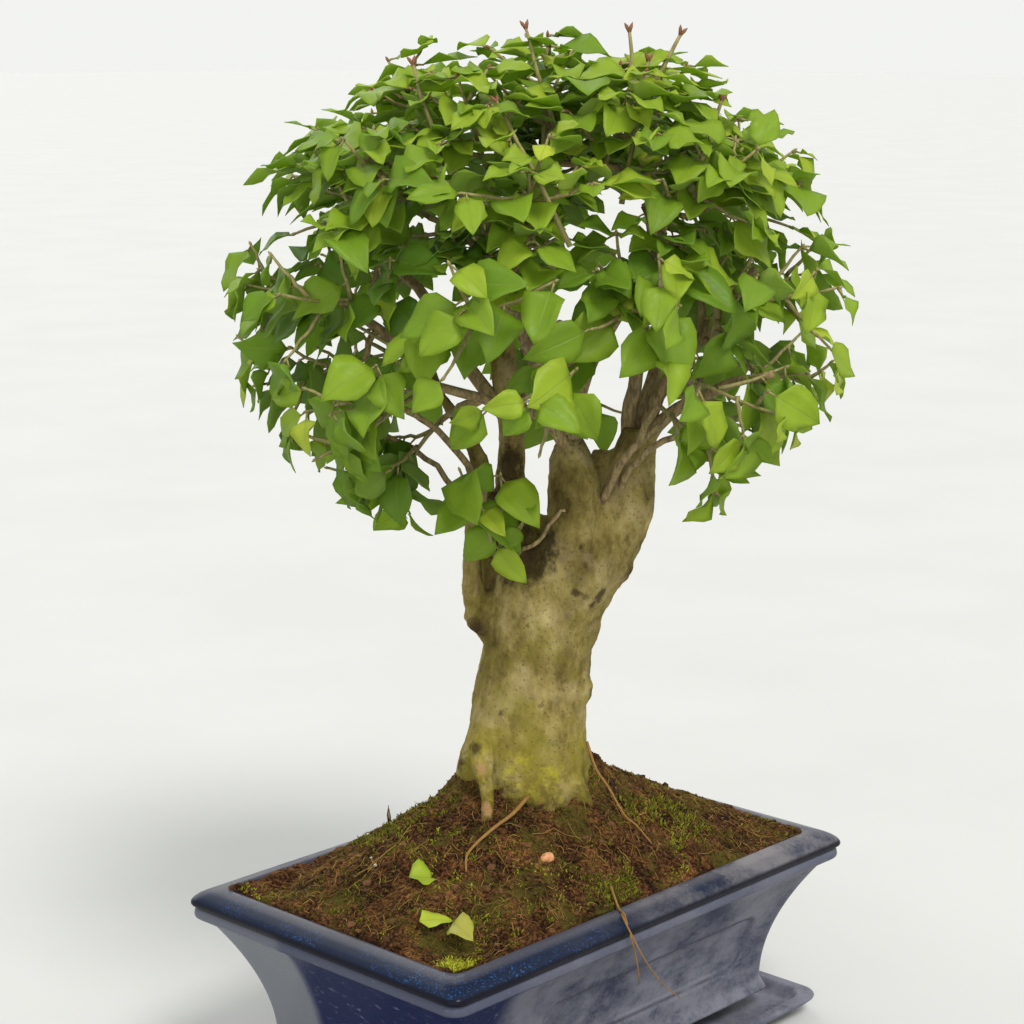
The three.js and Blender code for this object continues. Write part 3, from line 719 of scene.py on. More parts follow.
def wall_inset(depth):
    """How far the wall has drawn in at a depth below the lip: a hollow curve, then the foot."""
    if depth > LEAN_DEPTH:
        return WALL_LEAN - 2 * (depth - LEAN_DEPTH) / (BODY_DEPTH - LEAN_DEPTH)
    return WALL_LEAN * (1 - (1 - depth / LEAN_DEPTH) ** 2)


def pot_profile():
    """Inset, level and corner radius from the middle of the underside, up the wall, round the
    rolled lip and down to the middle of the floor."""
    under = [(None, BODY_DEPTH), (40, BODY_DEPTH), (19.2, BODY_DEPTH), (18.2, BODY_DEPTH - 0.4)]
    wall_depths = np.arange(BODY_DEPTH - 1, 6.4, -1.0)
    wall = [(wall_inset(depth), depth) for depth in wall_depths]
    lip = [
        (4.0, 5.7), (3.0, 5.3), (2.3, 5.1), (1.5, 4.9), (1.0, 4.4), (0.8, 3.6), (0.9, 2.4),
        (1.1, 1.4), (1.5, 1.0), (1.5, 0.75), (0.8, 0.55), (0.2, 0.2), (0.0, -0.3),
        (0.1, -1.0), (0.6, -1.8), (1.6, -2.7), (3.2, -3.6), (5.2, -4.3), (7.4, -4.8),
        (9.0, -5.0), (10.0, -4.7), (10.6, -4.0), (10.8, -3.0),
    ]
    inner_depths = np.linspace(0, BODY_DEPTH - POT_FLOOR, 12)
    inner = [(max(10.8, wall_inset(depth) + POT_WALL), depth) for depth in inner_depths]
    floor = [(45, BODY_DEPTH - POT_FLOOR), (None, BODY_DEPTH - POT_FLOOR)]
    profile = []
    for inset, depth in [*under, *wall, *lip, *inner, *floor]:
        radius = CORNER if inset is None or inset < 30 else 3.0
        profile.append((inset, lip_level - depth, radius))
    return profile


PANEL_MIDDLE = 11.0
PANEL_HALF = 54.0
PANEL_TOP = 21.0
PANEL_BOTTOM = 42.0
PANEL_SINK = 1.3
PANEL_RADIUS = 7.0
PANEL_LEAN = 4.5


def sink_panels(mesh):
    """Sinks a panel with leaning ends and round corners into each long side."""
    points = points_of(mesh)
    _, half_width = halves(pot_low, pot_high)
    middle = (PANEL_TOP + PANEL_BOTTOM) / 2
    half_height = (PANEL_BOTTOM - PANEL_TOP) / 2
    depth = lip_level - points[:, 2]
    facing = np.sign(points[:, 1])
    x = -facing * points[:, 0] - PANEL_MIDDLE
    lean = (depth - middle) / half_height * PANEL_LEAN / 2
    dx = np.abs(x) - (PANEL_HALF - lean - PANEL_RADIUS)
    dz = np.abs(depth - middle) - (half_height - PANEL_RADIUS)
    outside = np.hypot(np.maximum(dx, 0), np.maximum(dz, 0)) + np.minimum(np.maximum(dx, dz), 0)
    share = np.clip((PANEL_RADIUS + 0.3 - outside) / 1.5, 0, 1)
    share = eased(share)
    wall_y = np.array([half_width - wall_inset(min(max(d, 0), BODY_DEPTH)) for d in depth])
    on_wall = np.abs(np.abs(points[:, 1]) - wall_y) < 0.05
    points[:, 1] -= facing * PANEL_SINK * share * on_wall
    move_points(mesh, points)
    set_mark(mesh, "panel_edge", 4 * share * (1 - share) * on_wall)


def add_feet(mesh):
    """Four low feet, a little narrower below, standing on the saucer."""
    shape = bmesh.new()
    shape.from_mesh(mesh)
    out_x = pot_high.x - FOOT_INSET - FOOT_SIZE.x / 2
    out_y = pot_high.y - FOOT_INSET - FOOT_SIZE.y / 2
    for sx in (-1, 1):
        for sy in (-1, 1):
            made = bmesh.ops.create_cube(shape, size=1)["verts"]
            centre = (sx * out_x, sy * out_y, pot_low.z + FOOT_SIZE.z / 2)
            bmesh.ops.scale(shape, vec=FOOT_SIZE, verts=made)
            low = [vert for vert in made if vert.co.z < 0]
            bmesh.ops.scale(shape, vec=(0.9, 0.87, 1), verts=low)
            bmesh.ops.translate(shape, vec=centre, verts=made)
            edges = list({edge for vert in made for edge in vert.link_edges})
            bmesh.ops.bevel(
                shape, geom=edges, offset=FOOT_BEVEL, offset_type="OFFSET", affect="EDGES",
                segments=3, profile=0.5, material=-1,
            )
    shape.to_mesh(mesh)
    shape.free()


def drill(piece, name, places, radius, low, high):
    """Cuts round holes through a piece."""
    shape = bmesh.new()
    for x, y in places:
        made = bmesh.ops.create_cone(
            shape, cap_ends=True, segments=32, radius1=radius, radius2=radius, depth=high - low,
        )["verts"]
        bmesh.ops.translate(shape, vec=(x, y, (low + high) / 2), verts=made)
    bmesh.ops.scale(shape, vec=(MM, MM, MM), verts=shape.verts[:])
    cutter = put(name, mesh_from(shape, name))
    cut = piece.modifiers.new("holes", "BOOLEAN")
    cut.object = cutter
    cut.solver = "EXACT"
    made_mesh = applied(piece)
    piece.modifiers.clear()
    piece.data = made_mesh
    bpy.data.objects.remove(cutter)


def applied(piece):
    """A mesh of the piece with its modifiers in it."""
    graph = bpy.context.evaluated_depsgraph_get()
    return bpy.data.meshes.new_from_object(piece.evaluated_get(graph))


def make_pot():
    mesh = turned_box("pot_glazed", pot_profile(), *halves(pot_low, pot_high), POT_COLUMNS)
    sink_panels(mesh)
    add_feet(mesh)
    piece = finish_mesh("pot_glazed", mesh, glaze, ["pot"])
    floor = pot_low.z + FOOT_HEIGHT
    places = [(-DRAIN_OFFSET, 0), (DRAIN_OFFSET, 0)]
    drill(piece, "drain_holes", places, DRAIN_RADIUS, floor - 2, floor + POT_FLOOR + 2)


def make_saucer():
    top = saucer_high.z
    profile = [
        (None, 0, 5), (30, 0, 5), (8.2, 0, 6), (7.2, 0.3, 6.5), (6.2, 1.1, 7), (4.4, 2.3, 7),
        (2.4, 3.8, 8), (0.9, 5.2, 8), (0.2, 6.0, 8), (0.0, 6.6, 8), (0.25, 7.1, 8),
        (0.9, top - 0.1, 8), (1.8, top, 8), (3.4, top, 8), (4.4, top - 0.2, 8),
        (5.0, 6.8, 7), (5.6, 5.6, 7), (6.6, 4.2, 6), (7.6, 3.3, 5), (9.0, 3.0, 5), (35, 3.0, 4),
        (None, 3.0, 4),
    ]
    mesh = turned_box("saucer_glazed", profile, *halves(saucer_low, saucer_high), SAUCER_COLUMNS)
    finish_mesh("saucer_glazed", mesh, glaze, ["saucer"])


# ---- Wood ----

# Trunk sections: height, centre and the two radii.
TRUNK = [
    (-12, -1, 0, 28, 26), (0, -1, 0, 27, 25), (18, -1, 0, 26, 24), (30, -1, 0, 24.5, 22.5),
    (38, -0.8, 0, 22.8, 21), (50, 0, 0, 20.6, 19.5), (61, 0.6, 0, 19.8, 18.5),
    (79, 3.2, 0, 18, 17.5), (92, 4.8, 0, 18.4, 18), (104, 9, 0.5, 20, 18),
    (112, 12.5, 1, 20, 17.5), (119, 17, 1.5, 18, 16), (124, 18, 1.5, 13, 12),
]
# Limbs: places and radii.
LIMBS = {
    "right": [
        (16, 1, 103, 14), (25, 2, 116, 13), (31, 2, 128, 11.4), (34, 2, 138, 9.4),
        (36, 2, 147, 7.4), (37.2, 2, 155, 5.8),
    ],
    "middle": [
        (12, -6, 95, 9), (13, -7.5, 110, 9.3), (14.5, -7.5, 125, 9), (15, -6.5, 138, 8.4),
        (14.4, -5.4, 146, 7.0), (14.0, -5, 153, 4.6), (13.6, -5, 160, 2.6),
    ],
    "left": [
        (-8, -2, 83, 6), (-14.5, -2, 90.5, 4.8), (-17.6, -2, 98, 3.9), (-18.4, -2, 107, 3.4),
        (-18.2, -1, 118, 3.4), (-17, 0, 132, 3.4), (-15.6, 1, 142, 3.3), (-21, 2, 155, 3),
        (-29, 3, 166, 2.6), (-36, 4, 185, 2.1),
    ],
    "back": [
        (0, 8, 95, 9), (-3, 11, 115, 6.6), (-5, 13, 135, 5.2), (-6, 14, 155, 4.6),
        (-8, 15, 185, 3.8), (-4, 14, 215, 3),
    ],
    "web": [(-10, 5, 88, 6), (-12, 7, 104, 4.6), (-13, 8, 119, 3.4), (-13, 10, 132, 2.6)],
    "ridge": [(20, 2, 110, 8), (23, 4, 124, 7.5), (25.5, 5, 137, 6.5), (26.5, 6, 147, 5)],
    "spur": [
        (-14.5, -10, 60, 2.6), (-16, -17, 51, 4.2), (-15.4, -22.5, 44, 4.0), (-13.8, -26.5, 37, 2.9),
        (-13.6, -30, 30, 2.7), (-14.4, -33, 22, 2.4), (-15, -34, 14, 2),
    ],
}
# Surface roots: bearing in degrees and reach.
ROOTS = [(202, 26), (276, 23), (324, 25), (6, 25), (78, 30), (140, 30)]
# Knots and swellings: place, radius, height; a negative height is a hollow.
KNOTS = [
    (-18.5, -3, 91, 3.6, 1.8), (-16.5, -6, 88, 3, 1.4), (24.5, -3, 86, 4.5, 2.2), (21, -4, 66, 4, 1.8),
    (33.5, -3, 107, 3.6, 1.6), (43, -4, 133, 3.2, 1.4), (-19.5, -4, 102, 2.5, 0.7),
    (16.4, -16, 102.6, 4.2, 1.2), (22.6, -12.6, 100.8, 4.4, 1.4), (-7.6, -17, 73, 2.6, 1.0),
    (-19, -9, 41, 5, 2.2), (20, -9, 44, 5, 1.4), (-2, -19, 113, 8, -4.5), (4, -10, 119, 7, -3.5),
    (-11, -10, 108, 6, -2.5), (38, -7, 132, 4, 1.2), (9, -15, 133, 3, 1.0), (7, -20, 58, 6, 1.0),
    (-4, -23, 34, 7, 1.6), (10, -22, 30, 7, 1.6),
]
# Dark stains, and painted shade in hollows, clefts and cavities and on the back limb: place and radius.
STAINS_AND_SHADE = [
    (-2, -15, 114, 8.5), (5, -8, 120, 8), (-11, -9, 110, 6), (16, -17, 103.2, 1.7),
    (19.4, -15.6, 101.6, 1.5), (23, -12.6, 101, 1.9), (24.6, -11.6, 103.4, 1.2), (-18, -6, 89, 3.6),
    (-13.5, -12, 104, 2.6), (-13, -13, 96, 2.2), (22, -2, 122, 2.0), (-7.6, -18, 73, 1.8),
    (3, -20, 80, 1.3), (-9, -17, 62, 1.3), (12, -19, 73, 1.1), (41, -7, 133, 2.6),
    (39, -8, 126, 1.6), (26, -9, 134, 2.4), (25.5, -10, 144, 2.2), (25.5, -3, 86, 3.0),
    (21.5, -4, 66, 2.6), (-21, -6, 41, 4), (14, -6, 152, 5), (-17, -4, 60, 1.5),
    (-19, -21, 38, 4.5), (-8.5, -23, 36, 4.2), (-17.6, -21, 51, 2.4), (21, -14, 98.6, 1.1),
    (17, -17.4, 99.6, 1.2), (2, -20, 92, 1.4), (9, -19, 86, 1.5), (-3, -19, 84, 1.7),
    (13, -18, 62, 1.4), (-6, 4, 124, 7), (-8, 5, 133, 6), (-6, 8, 143, 6), (-12, 5, 114, 4),
    (33, -4, 107, 2.2), (26, -8, 116, 1.5), (8, -17, 124, 1.6), (17, -15, 119, 1.4),
]
# Cut and broken places on the spur: place and radius.
SCARS = [(-15.5, -26.5, 46, 2.4), (-14, -31, 33, 2.6), (-14.5, -34, 27, 2.2)]
ROUGH_SKIN = 1.1
FINE_SKIN = 1.0


def in_row_frame(points):
    """Points of the tree's frame in the row frame."""
    turn = np.array(tree_frame.to_3x3())
    return points @ turn.T + np.array(tree_frame.translation)


def trunk_rod(heap):
    """The trunk as one rod, narrowed from front to back where its two radii differ."""
    path = [(x, y, z) for z, x, y, _, _ in TRUNK]
    radii = [rx for _, _, _, rx, _ in TRUNK]
    rod_along(heap, smooth_path(path), spread(radii), 28)
    points = heap.points[-1]
    centre_y = np.interp(points[:, 2], [s[0] for s in TRUNK], [s[2] for s in TRUNK])
    narrow = np.interp(points[:, 2], [s[0] for s in TRUNK], [s[4] / s[3] for s in TRUNK])
    points[:, 1] = centre_y + (points[:, 1] - centre_y) * narrow


def root_path(bearing, reach):
    """A surface root that runs out from the foot of the trunk and down into the soil."""
    angle = math.radians(bearing)
    stations = ((0.3, 54, 8), (0.52, 44, 6.5), (0.72, 36, 5), (0.9, 29, 4), (1.05, 18, 3))
    wander = [0, 0.05, -0.04, 0.08, 0.02]
    path = []
    for (share, height, _), bend in zip(stations, wander):
        out = share * reach
        path.append((out * math.cos(angle + bend), out * math.sin(angle + bend), height))
    return path, [radius for _, _, radius in stations]


def closeness(points, place, radius):
    """1 at a place, falling to 0 at the given radius."""
    far = np.linalg.norm(points - np.array(place), axis=1) / radius
    return eased(np.clip(1 - far, 0, 1))


# Bark relief: depth, size, stretch along the trunk, and a seed.
RELIEF = [(1.1, 16, 1.6, 3.1), (0.75, 6.5, 2.4, 8.2), (0.4, 2.8, 1.5, 5.7), (0.22, 1.3, 1.0, 1.3)]


def ripple(points, normals, size, stretch, seed):
    """Moves along the normals by noise with features of about the given size."""
    scale = Vector((1 / size, 1 / size, 1 / (size * stretch)))
    shift = Vector((seed, seed * 1.7, -seed))
    values = [noise.noise(Vector(point) * scale + shift) for point in points]
    return np.array(values)[:, None] * normals


def weather(points, normals):
    """Bark relief: swellings, flutes that run up the trunk, and knots with sunk middles."""
    moved = points.copy()
    for depth, size, stretch, seed in RELIEF:
        moved += depth * ripple(points, normals, size, stretch, seed)
    for *place, radius, height in KNOTS:
        bump = closeness(points, place, radius * 1.5)[:, None]
        dent = closeness(points, place, radius * 0.55)[:, None] if height > 0 else 0
        moved += normals * height * (bump - 0.55 * dent)
    return moved


# The rotted hollow in the fork, and clefts between limbs: places and radii of the lumps
# that are carved away.
HOLLOW = [
    (-4, -7, 125, 7.5), (-5, -3, 118, 6.5), (3, -1, 124, 7), (-13, -9, 107, 2.8),
    (-13.5, -11, 100, 1.8), (25.5, -8, 146, 3), (25, -9, 137, 2), (24.5, -10, 129, 1.2),
    (-19, -23, 36, 2.6), (-8.5, -24, 38, 2.8), (-8, -25, 31, 2.4), (-17, -20.5, 49.5, 1.5),
]


def carve(points, normals):
    """Sinks the places that lie inside a lump of the hollow to the lump's far side."""
    for *place, radius in HOLLOW:
        scale = radius * np.array((1, 1.2, 1.4))
        offset = (points - np.array(place)) / scale
        inward = -normals / scale
        a = (inward * inward).sum(axis=1)
        b = (offset * inward).sum(axis=1)
        c = (offset * offset).sum(axis=1) - 1
        depth = (np.sqrt(np.maximum(b * b - a * c, 0)) - b) / a
        points = points - normals * np.where(c < 0, depth, 0)[:, None]
    return points


def grown_together(mesh, fineness, rounds):
    """One skin over everything in a mesh, smoothed."""
    piece = put("growing", mesh)
    skin = piece.modifiers.new("skin", "REMESH")
    skin.mode = "VOXEL"
    skin.voxel_size = fineness
    relax = piece.modifiers.new("relax", "SMOOTH")
    relax.iterations = rounds
    grown = applied(piece)
    bpy.data.objects.remove(piece)
    return grown


def make_trunk():
    """The trunk, its limbs and roots, grown together as one skin."""
    heap = Heap()
    trunk_rod(heap)
    for stations in LIMBS.values():
        path = smooth_path([station[:3] for station in stations])
        rod_along(heap, path, spread([station[3] for station in stations]), 18)
    for bearing, reach in ROOTS:
        path, radii = root_path(bearing, reach)
        rod_along(heap, smooth_path(path), spread(radii), 12)
    rough = grown_together(heap.mesh("trunk"), ROUGH_SKIN, 6)
    move_points(rough, carve(points_of(rough), normals_of(rough)))
    mesh = grown_together(rough, FINE_SKIN, 4)
    points = points_of(mesh)
    moved = weather(points, normals_of(mesh))
    # Stains, with painted shade in the hollows and cavities and on the back limb.
    stain = sum(closeness(points, place, 2.0 * radius) for *place, radius in STAINS_AND_SHADE)
    scar = sum(closeness(points, place, 2.0 * radius) for *place, radius in SCARS)
    move_points(mesh, in_row_frame(moved))
    set_mark(mesh, "stain", np.clip(stain, 0, 1))
    set_mark(mesh, "scar", np.clip(scar, 0, 1))
    finish_mesh("trunk", mesh, bark, ["wood"])


# Branches: places, then the first and last radii.
BRANCHES = [
    ([(-29, 3, 166), (-45, 0, 185), (-62, -6, 200)], 2.4, 1.3),
    ([(-8, 15, 185), (-15, 25, 215), (-25, 35, 240)], 2.8, 1.4),
    ([(-4, 14, 205), (5, 10, 235), (8, 5, 262)], 2.6, 1.3),
    ([(14, -5, 144), (10, -8, 165), (-2, -18, 190), (-12, -34, 215)], 2.9, 1.4),
    ([(14, -6, 140), (17, -10, 170), (26, -28, 192), (34, -48, 210)], 2.9, 1.4),
    ([(38, 7, 150), (46, 7, 170), (62, 8, 190), (76, 10, 208)], 3.0, 1.4),
    ([(35, 8, 150), (42, 12, 170), (48, 30, 195), (52, 50, 215)], 2.8, 1.4),
    ([(34, 7, 152), (36, 3, 175), (40, -6, 210), (42, -8, 240)], 2.8, 1.3),
    ([(-6, 14, 155), (-20, 14, 175), (-38, 28, 200), (-55, 45, 215)], 2.8, 1.4),
    ([(14, -6, 142), (6, -12, 160), (-22, -30, 172), (-45, -48, 180)], 2.4, 1.2),
    ([(38, 6, 148), (50, 0, 163), (66, -26, 174), (76, -44, 180)], 2.6, 1.3),
    ([(-4, 12, 138), (-2, 34, 162), (6, 54, 175), (12, 68, 183)], 2.8, 1.4),
    ([(24, -6, 131), (33, -16, 150), (47, -18, 163), (60, -12, 180)], 1.5, 0.9),
    ([(30, -4, 134), (36, -14, 148), (53, -20, 158), (66, -24, 160)], 1.3, 0.9),
    ([(-11, -15, 112), (-2, -22, 119), (5, -24, 124), (9, -26, 131), (12, -26, 133)], 0.8, 0.5),
    ([(-16, -1, 128), (-20, -8, 144), (-32, -18, 160), (-42, -30, 168)], 1.4, 0.9),
    ([(-17, -1, 122), (-24, -4, 136), (-38, -6, 150), (-56, -8, 158)], 1.2, 0.8),
]
curves = [(smooth_path(places), first, last) for places, first, last in BRANCHES]


def nearest_branch(point):
    """The nearest place on a branch that isn't further out than the point."""
    best = None
    for path, first, last in curves:
        for index, place in enumerate(path[3:]):
            further = (place - canopy_middle).length > (point - canopy_middle).length
            cost = (place - point).length + (40 if further else 0)
            if best is None or cost < best[0]:
                best = (cost, place)
    return best[1]


# The crown's outline: half its width and depth, its rise above and drop below its middle.
CROWN_LEVEL = 193
CROWN_WIDE = 105
CROWN_DEEP = 99
CROWN_RISE = 92
CROWN_DROP = 84
SKIRT_POWER = 1.65

spray_names = sorted(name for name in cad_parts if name.startswith("leaf_spray_"))
crown_names = [name for name in spray_names if name != "leaf_spray_trunk"]
spray_middles = {}
for spray_name in spray_names:
    spray_low, spray_high = box_mm(spray_name)
    spray_middles[spray_name] = to_tree @ ((spray_low + spray_high) / 2)
crown_points = [spray_middles[name] for name in crown_names]
canopy_middle = Vector((
    sum(point.x for point in crown_points) / len(crown_points), 0, CROWN_LEVEL,
))


def wandering(path, amount, seed):
    """A path with small kinks, its ends kept."""
    kinked = [Vector(path[0])]
    for index, point in enumerate(path[1:-1]):
        place = Vector(point) * 0.11 + Vector((seed, index * 0.7, seed))
        shift = Vector([noise.noise(place + Vector((9.3 * axis, -1.5, 7.9))) for axis in range(3)])
        kinked.append(Vector(point) + shift * amount)
    kinked.append(Vector(path[-1]))
    return kinked


# ---- Leaves ----


def leaf_shape():
    """A flat leaf in its own measures: x across from -1 to 1, y along from 0 to 1, z 1 on
    top and 0 beneath. Its stalk is a separate closed rod."""
    shape = bmesh.new()
    bmesh.ops.create_grid(shape, x_segments=4, y_segments=6, size=1)
    bmesh.ops.transform(
        shape, matrix=Matrix.Translation((0, 0.5, 0)) @ Matrix.Diagonal((1, 0.5, 1, 1)),
        verts=shape.verts[:],
    )
    for vert in shape.verts:
        if vert.co.y < 0.01 or vert.co.y > 0.99:
            vert.co.x = 0
    bmesh.ops.remove_doubles(shape, verts=shape.verts[:], dist=0.001)
    bmesh.ops.solidify(shape, geom=shape.faces[:], thickness=1.0)
    bmesh.ops.recalc_face_normals(shape, faces=shape.faces[:])
    points, faces = shape_from(shape)
    points[:, 2] = np.where(points[:, 2] > points[:, 2].mean(), 1.0, 0.0)
    return points, faces


blade_points, blade_faces = leaf_shape()
LEAF_SKIN = 0.22
LEAF_LENGTH = 18.8
PAIR_SPACING = 9
CLEARING_SIDES = (-6, 46)
CLEARING_TOP = 152


def add_leaf(heap, base, along, face, length, width, shade, dice):
    """One leaf on its stalk, folded along the midrib, bent and waved."""
    fold = dice.uniform(0.08, 0.45)
    bend = dice.uniform(0.0, 0.36)
    wave = dice.uniform(0.06, 0.22)
    phase = dice.uniform(0, 6.28)
    twist = dice.uniform(-0.25, 0.25)
    across, y, layer = blade_points.T
    breadth = np.sin(np.pi * np.clip(y, 0, 1) ** 0.66) ** 0.8 * (1 - 0.3 * y ** 3)
    x = across * breadth * width / 2
    frill = np.sin(phase + 7.5 * y + 1.3 * np.sign(across))
    height = fold * np.abs(x) + wave * width * np.abs(across) * frill * breadth
    height = height + x * twist * y - bend * length * y ** 2
    height = height + layer * LEAF_SKIN
    forward = y * length * (1 - 0.35 * bend * y)
    along = along.normalized()
    up = (face - along * face.dot(along)).normalized()
    side = along.cross(up)
    stalk = dice.uniform(1.5, 3.5)
    heel = base + along * stalk - up * 0.2
    placed = (
        np.array(heel) + np.outer(x, side) + np.outer(forward, along) + np.outer(height, up)
    )
    uv = np.column_stack((0.5 + across / 2, y))
    heap.add(in_row_frame(placed), blade_faces, uv, shade=shade, under=1 - layer)
    return heel


def add_stalk(heap, base, heel):
    """The short stalk between a twig and the heel of a leaf."""
    middle = (base + heel) / 2 + UP * 0.25
    path = [base, middle, heel + (heel - base) * 0.25]
    rod_along(heap, path, [0.5, 0.42, 0.3], 3, age=0.0, bud=0.0)


def limit(point):
    """How far out a place is: 1 on the outline of the crown, a dome on a narrowing skirt."""
    offset = point - canopy_middle
    across = math.hypot(offset.x / CROWN_WIDE, offset.y / CROWN_DEEP)
    if offset.z > 0:
        return math.hypot(across, offset.z / CROWN_RISE)
    return (across ** SKIRT_POWER + (-offset.z / CROWN_DROP) ** SKIRT_POWER) ** (1 / SKIRT_POWER)


def add_shoot(leaves, twigs, start, end, dice, size=1.0, shade=0.4, first=0.25, bud=0.0, facing=None):
    """A twig with pairs of leaves, each pair turned a quarter from the last. High in the
    crown the leaves lie flat; low down they hang and face outwards."""
    length = (end - start).length
    sag = UP * (-0.04 * length)
    path = smooth_path([start, (start + end) / 2 + sag, end], 3)
    path = wandering(path, 0.9, dice.uniform(0, 50))
    radii = np.linspace(0.85, 0.45, len(path))
    rod_along(twigs, path, radii, 5, age=0.35, bud=0.0)
    along = (end - start).normalized()
    side, other = sides_of(along, 0.25)
    count = max(2, int(length * (1 - first) / PAIR_SPACING))
    for pair in range(count + 1):
        share = first + (1 - first) * pair / count
        index = share * (len(path) - 1)
        low = min(int(index), len(path) - 2)
        node = path[low].lerp(path[low + 1], index - low)
        quarter = (pair % 2) * math.pi / 2 + dice.uniform(-0.4, 0.4)
        outward = facing or (node - canopy_middle).normalized()
        high = min(max((outward.z + 0.05) / 0.75, 0), 1)
        high = eased(high)
        last = pair == count
        for half in range(3 if last else 2):
            if dice.random() < 0.16 + 0.42 * (1 - high):
                continue
            angle = quarter + half * math.pi
            reach = side * math.cos(angle) + other * math.sin(angle)
            lean = 0.45 if half < 2 else 1.8
            way = along * lean + reach * 0.8 + outward * 0.35
            way.z = way.z * 0.4 - 0.72 + 0.56 * high + dice.uniform(-0.28, 0.28)
            flat = UP * 0.9 + outward * 0.6
            hung = outward + UP * 0.3
            face = hung.lerp(flat, high)
            face = face + Vector([dice.uniform(-0.42, 0.42) for _ in range(3)])
            grown = size * (1.16 - 0.22 * high) * dice.uniform(0.60, 1.10)
            grown = grown * (0.8 if half == 2 else 1)
            leaf_length = LEAF_LENGTH * grown
            tip = node + way.normalized() * (leaf_length + 2)
            if not facing and (in_clearing(node) or in_clearing(tip)):
                continue
            if limit(tip) > 1.05:
                way = way - outward * way.dot(outward) * 0.7 - UP * 0.1
                leaf_length *= 0.8
            # Painted light and shade: leaves deep in the crown are darker and leaves high up lighter, with
            # a random spread.
            tone = shade + 0.4 * (limit(node) - 0.75) + 0.08 * high + dice.uniform(-0.22, 0.2)
            if dice.random() < 0.09:
                tone += 0.4
            heel = add_leaf(
                leaves, node, way, face, leaf_length, leaf_length * dice.uniform(0.62, 0.84),
                min(max(tone, 0.03), 1), dice,
            )
            add_stalk(twigs, node, heel)
    tip = end + along * 1.8
    rod_along(twigs, [end - along * 0.3, end + along * 0.9, tip], [0.45, 0.55, 0.12], 5, age=0.2, bud=bud)


# Young twigs that stand out of the top of the crown, with reddish buds.
UPRIGHT = [
    [(29, -32, 232), (33, -30, 256), (37, -29, 276)], [(35, -29, 264), (41, -29, 273), (47, -28, 284)],
    [(34, -30, 262), (32, -31, 274), (31, -30, 285)], [(8, -24, 256), (3, -22, 272), (-1, -20, 286)],
    [(12, -70, 222), (0, -62, 246), (-10, -50, 264)], [(-26, -34, 244), (-32, -34, 262), (-36, -32, 275)],
    [(50, -34, 236), (56, -32, 252), (60, -30, 264)], [(-52, -38, 226), (-60, -38, 240), (-66, -36, 250)],
]


def make_uprights(twigs):
    """The upright twigs, each with two buds."""
    for index, places in enumerate(UPRIGHT):
        path = wandering(smooth_path(places, 3), 0.7, 11.0 + index)
        steps = len(path)
        rod_along(twigs, path, np.linspace(0.95, 0.55, steps), 6, age=0.05, bud=np.linspace(0, 0.45, steps))
        tip, along = path[-1], (path[-1] - path[-2]).normalized()
        for side in (-0.5, 0.5):
            end = tip + (along + Vector((side, side * 0.4, 0))).normalized() * 3
            bud_path = [tip - along * 0.4, tip.lerp(end, 0.6), end]
            rod_along(twigs, bud_path, [0.55, 0.6, 0.12], 5, age=0.1, bud=1.0)


def in_clearing(point):
    """Whether a place lies in front of the bare limbs, below the open front of the crown."""
    left, right = CLEARING_SIDES
    return left < point.x < right and point.y < -6 and point.z + 0.12 * point.y < CLEARING_TOP


def sides_of(direction, steep=0.3):
    """Two directions square to a direction and to each other."""
    side = direction.cross(UP)
    if side.length < steep:
        side = Vector((1, 0, 0))
    side.normalize()
    return side, side.cross(direction)


def make_spray(name, twigs):
    """All the leafy shoots of one spray, in the place of the plain one."""
    dice = random.Random(name)
    middle = spray_middles[name]
    outward = (middle - canopy_middle).normalized()
    leaves = Heap()
    # Painted light: sprays on the right and the front, towards the key light, are lighter, and those at the
    # back darker.
    shade = 0.40 + 0.10 * outward.x - 0.05 * outward.y + dice.uniform(-0.06, 0.08)
    bud = 1.0 if outward.z > 0.6 else 0.3
    start = middle - outward * 24
    tip = middle + outward * dice.uniform(8, 19)
    joint = nearest_branch(start)
    halfway = (joint + start) / 2 + UP * dice.uniform(-2, 4)
    path = wandering(smooth_path([joint, halfway, start], 3), 1.6, dice.uniform(0, 90))
    rod_along(twigs, path, np.linspace(1.5, 1.0, len(path)), 6, age=0.7, bud=0.0)
    add_shoot(leaves, twigs, start, tip, dice, 1.0, shade, 0.3, bud)
    side, other = sides_of(outward)
    count = 7 if outward.z > 0.3 else 4
    for index in range(count):
        share = 0.12 + 0.62 * index / (count - 1)
        node = start.lerp(tip, share)
        angle = index * 2.4 + dice.uniform(-0.4, 0.4)
        reach = side * math.cos(angle) + other * math.sin(angle)
        way = (reach * 0.85 + outward * 0.55).normalized()
        end = node + way * dice.uniform(17, 34)
        for _ in range(6):
            if limit(end) > 0.96:
                end = node.lerp(end, 0.86)
        add_shoot(leaves, twigs, node, end, dice, 1.0, shade, 0.3, bud)
    # Painted shade: the inner shoots near the branch are darker, for the shade inside the crown.
    for index in range(4):
        node = joint.lerp(start, dice.uniform(0.3, 0.95))
        angle = dice.uniform(0, 6.28)
        reach = side * math.cos(angle) + other * math.sin(angle)
        end = node + (reach + outward * 0.5 + UP * 0.2).normalized() * dice.uniform(14, 24)
        if node.z > 185:
            add_shoot(leaves, twigs, node, end, dice, 0.9, shade - 0.12, 0.3)
    mesh = leaves.mesh(name + "_leaves", "leaf")
    finish_mesh(name + "_leaves", mesh, leaf_green, [name])


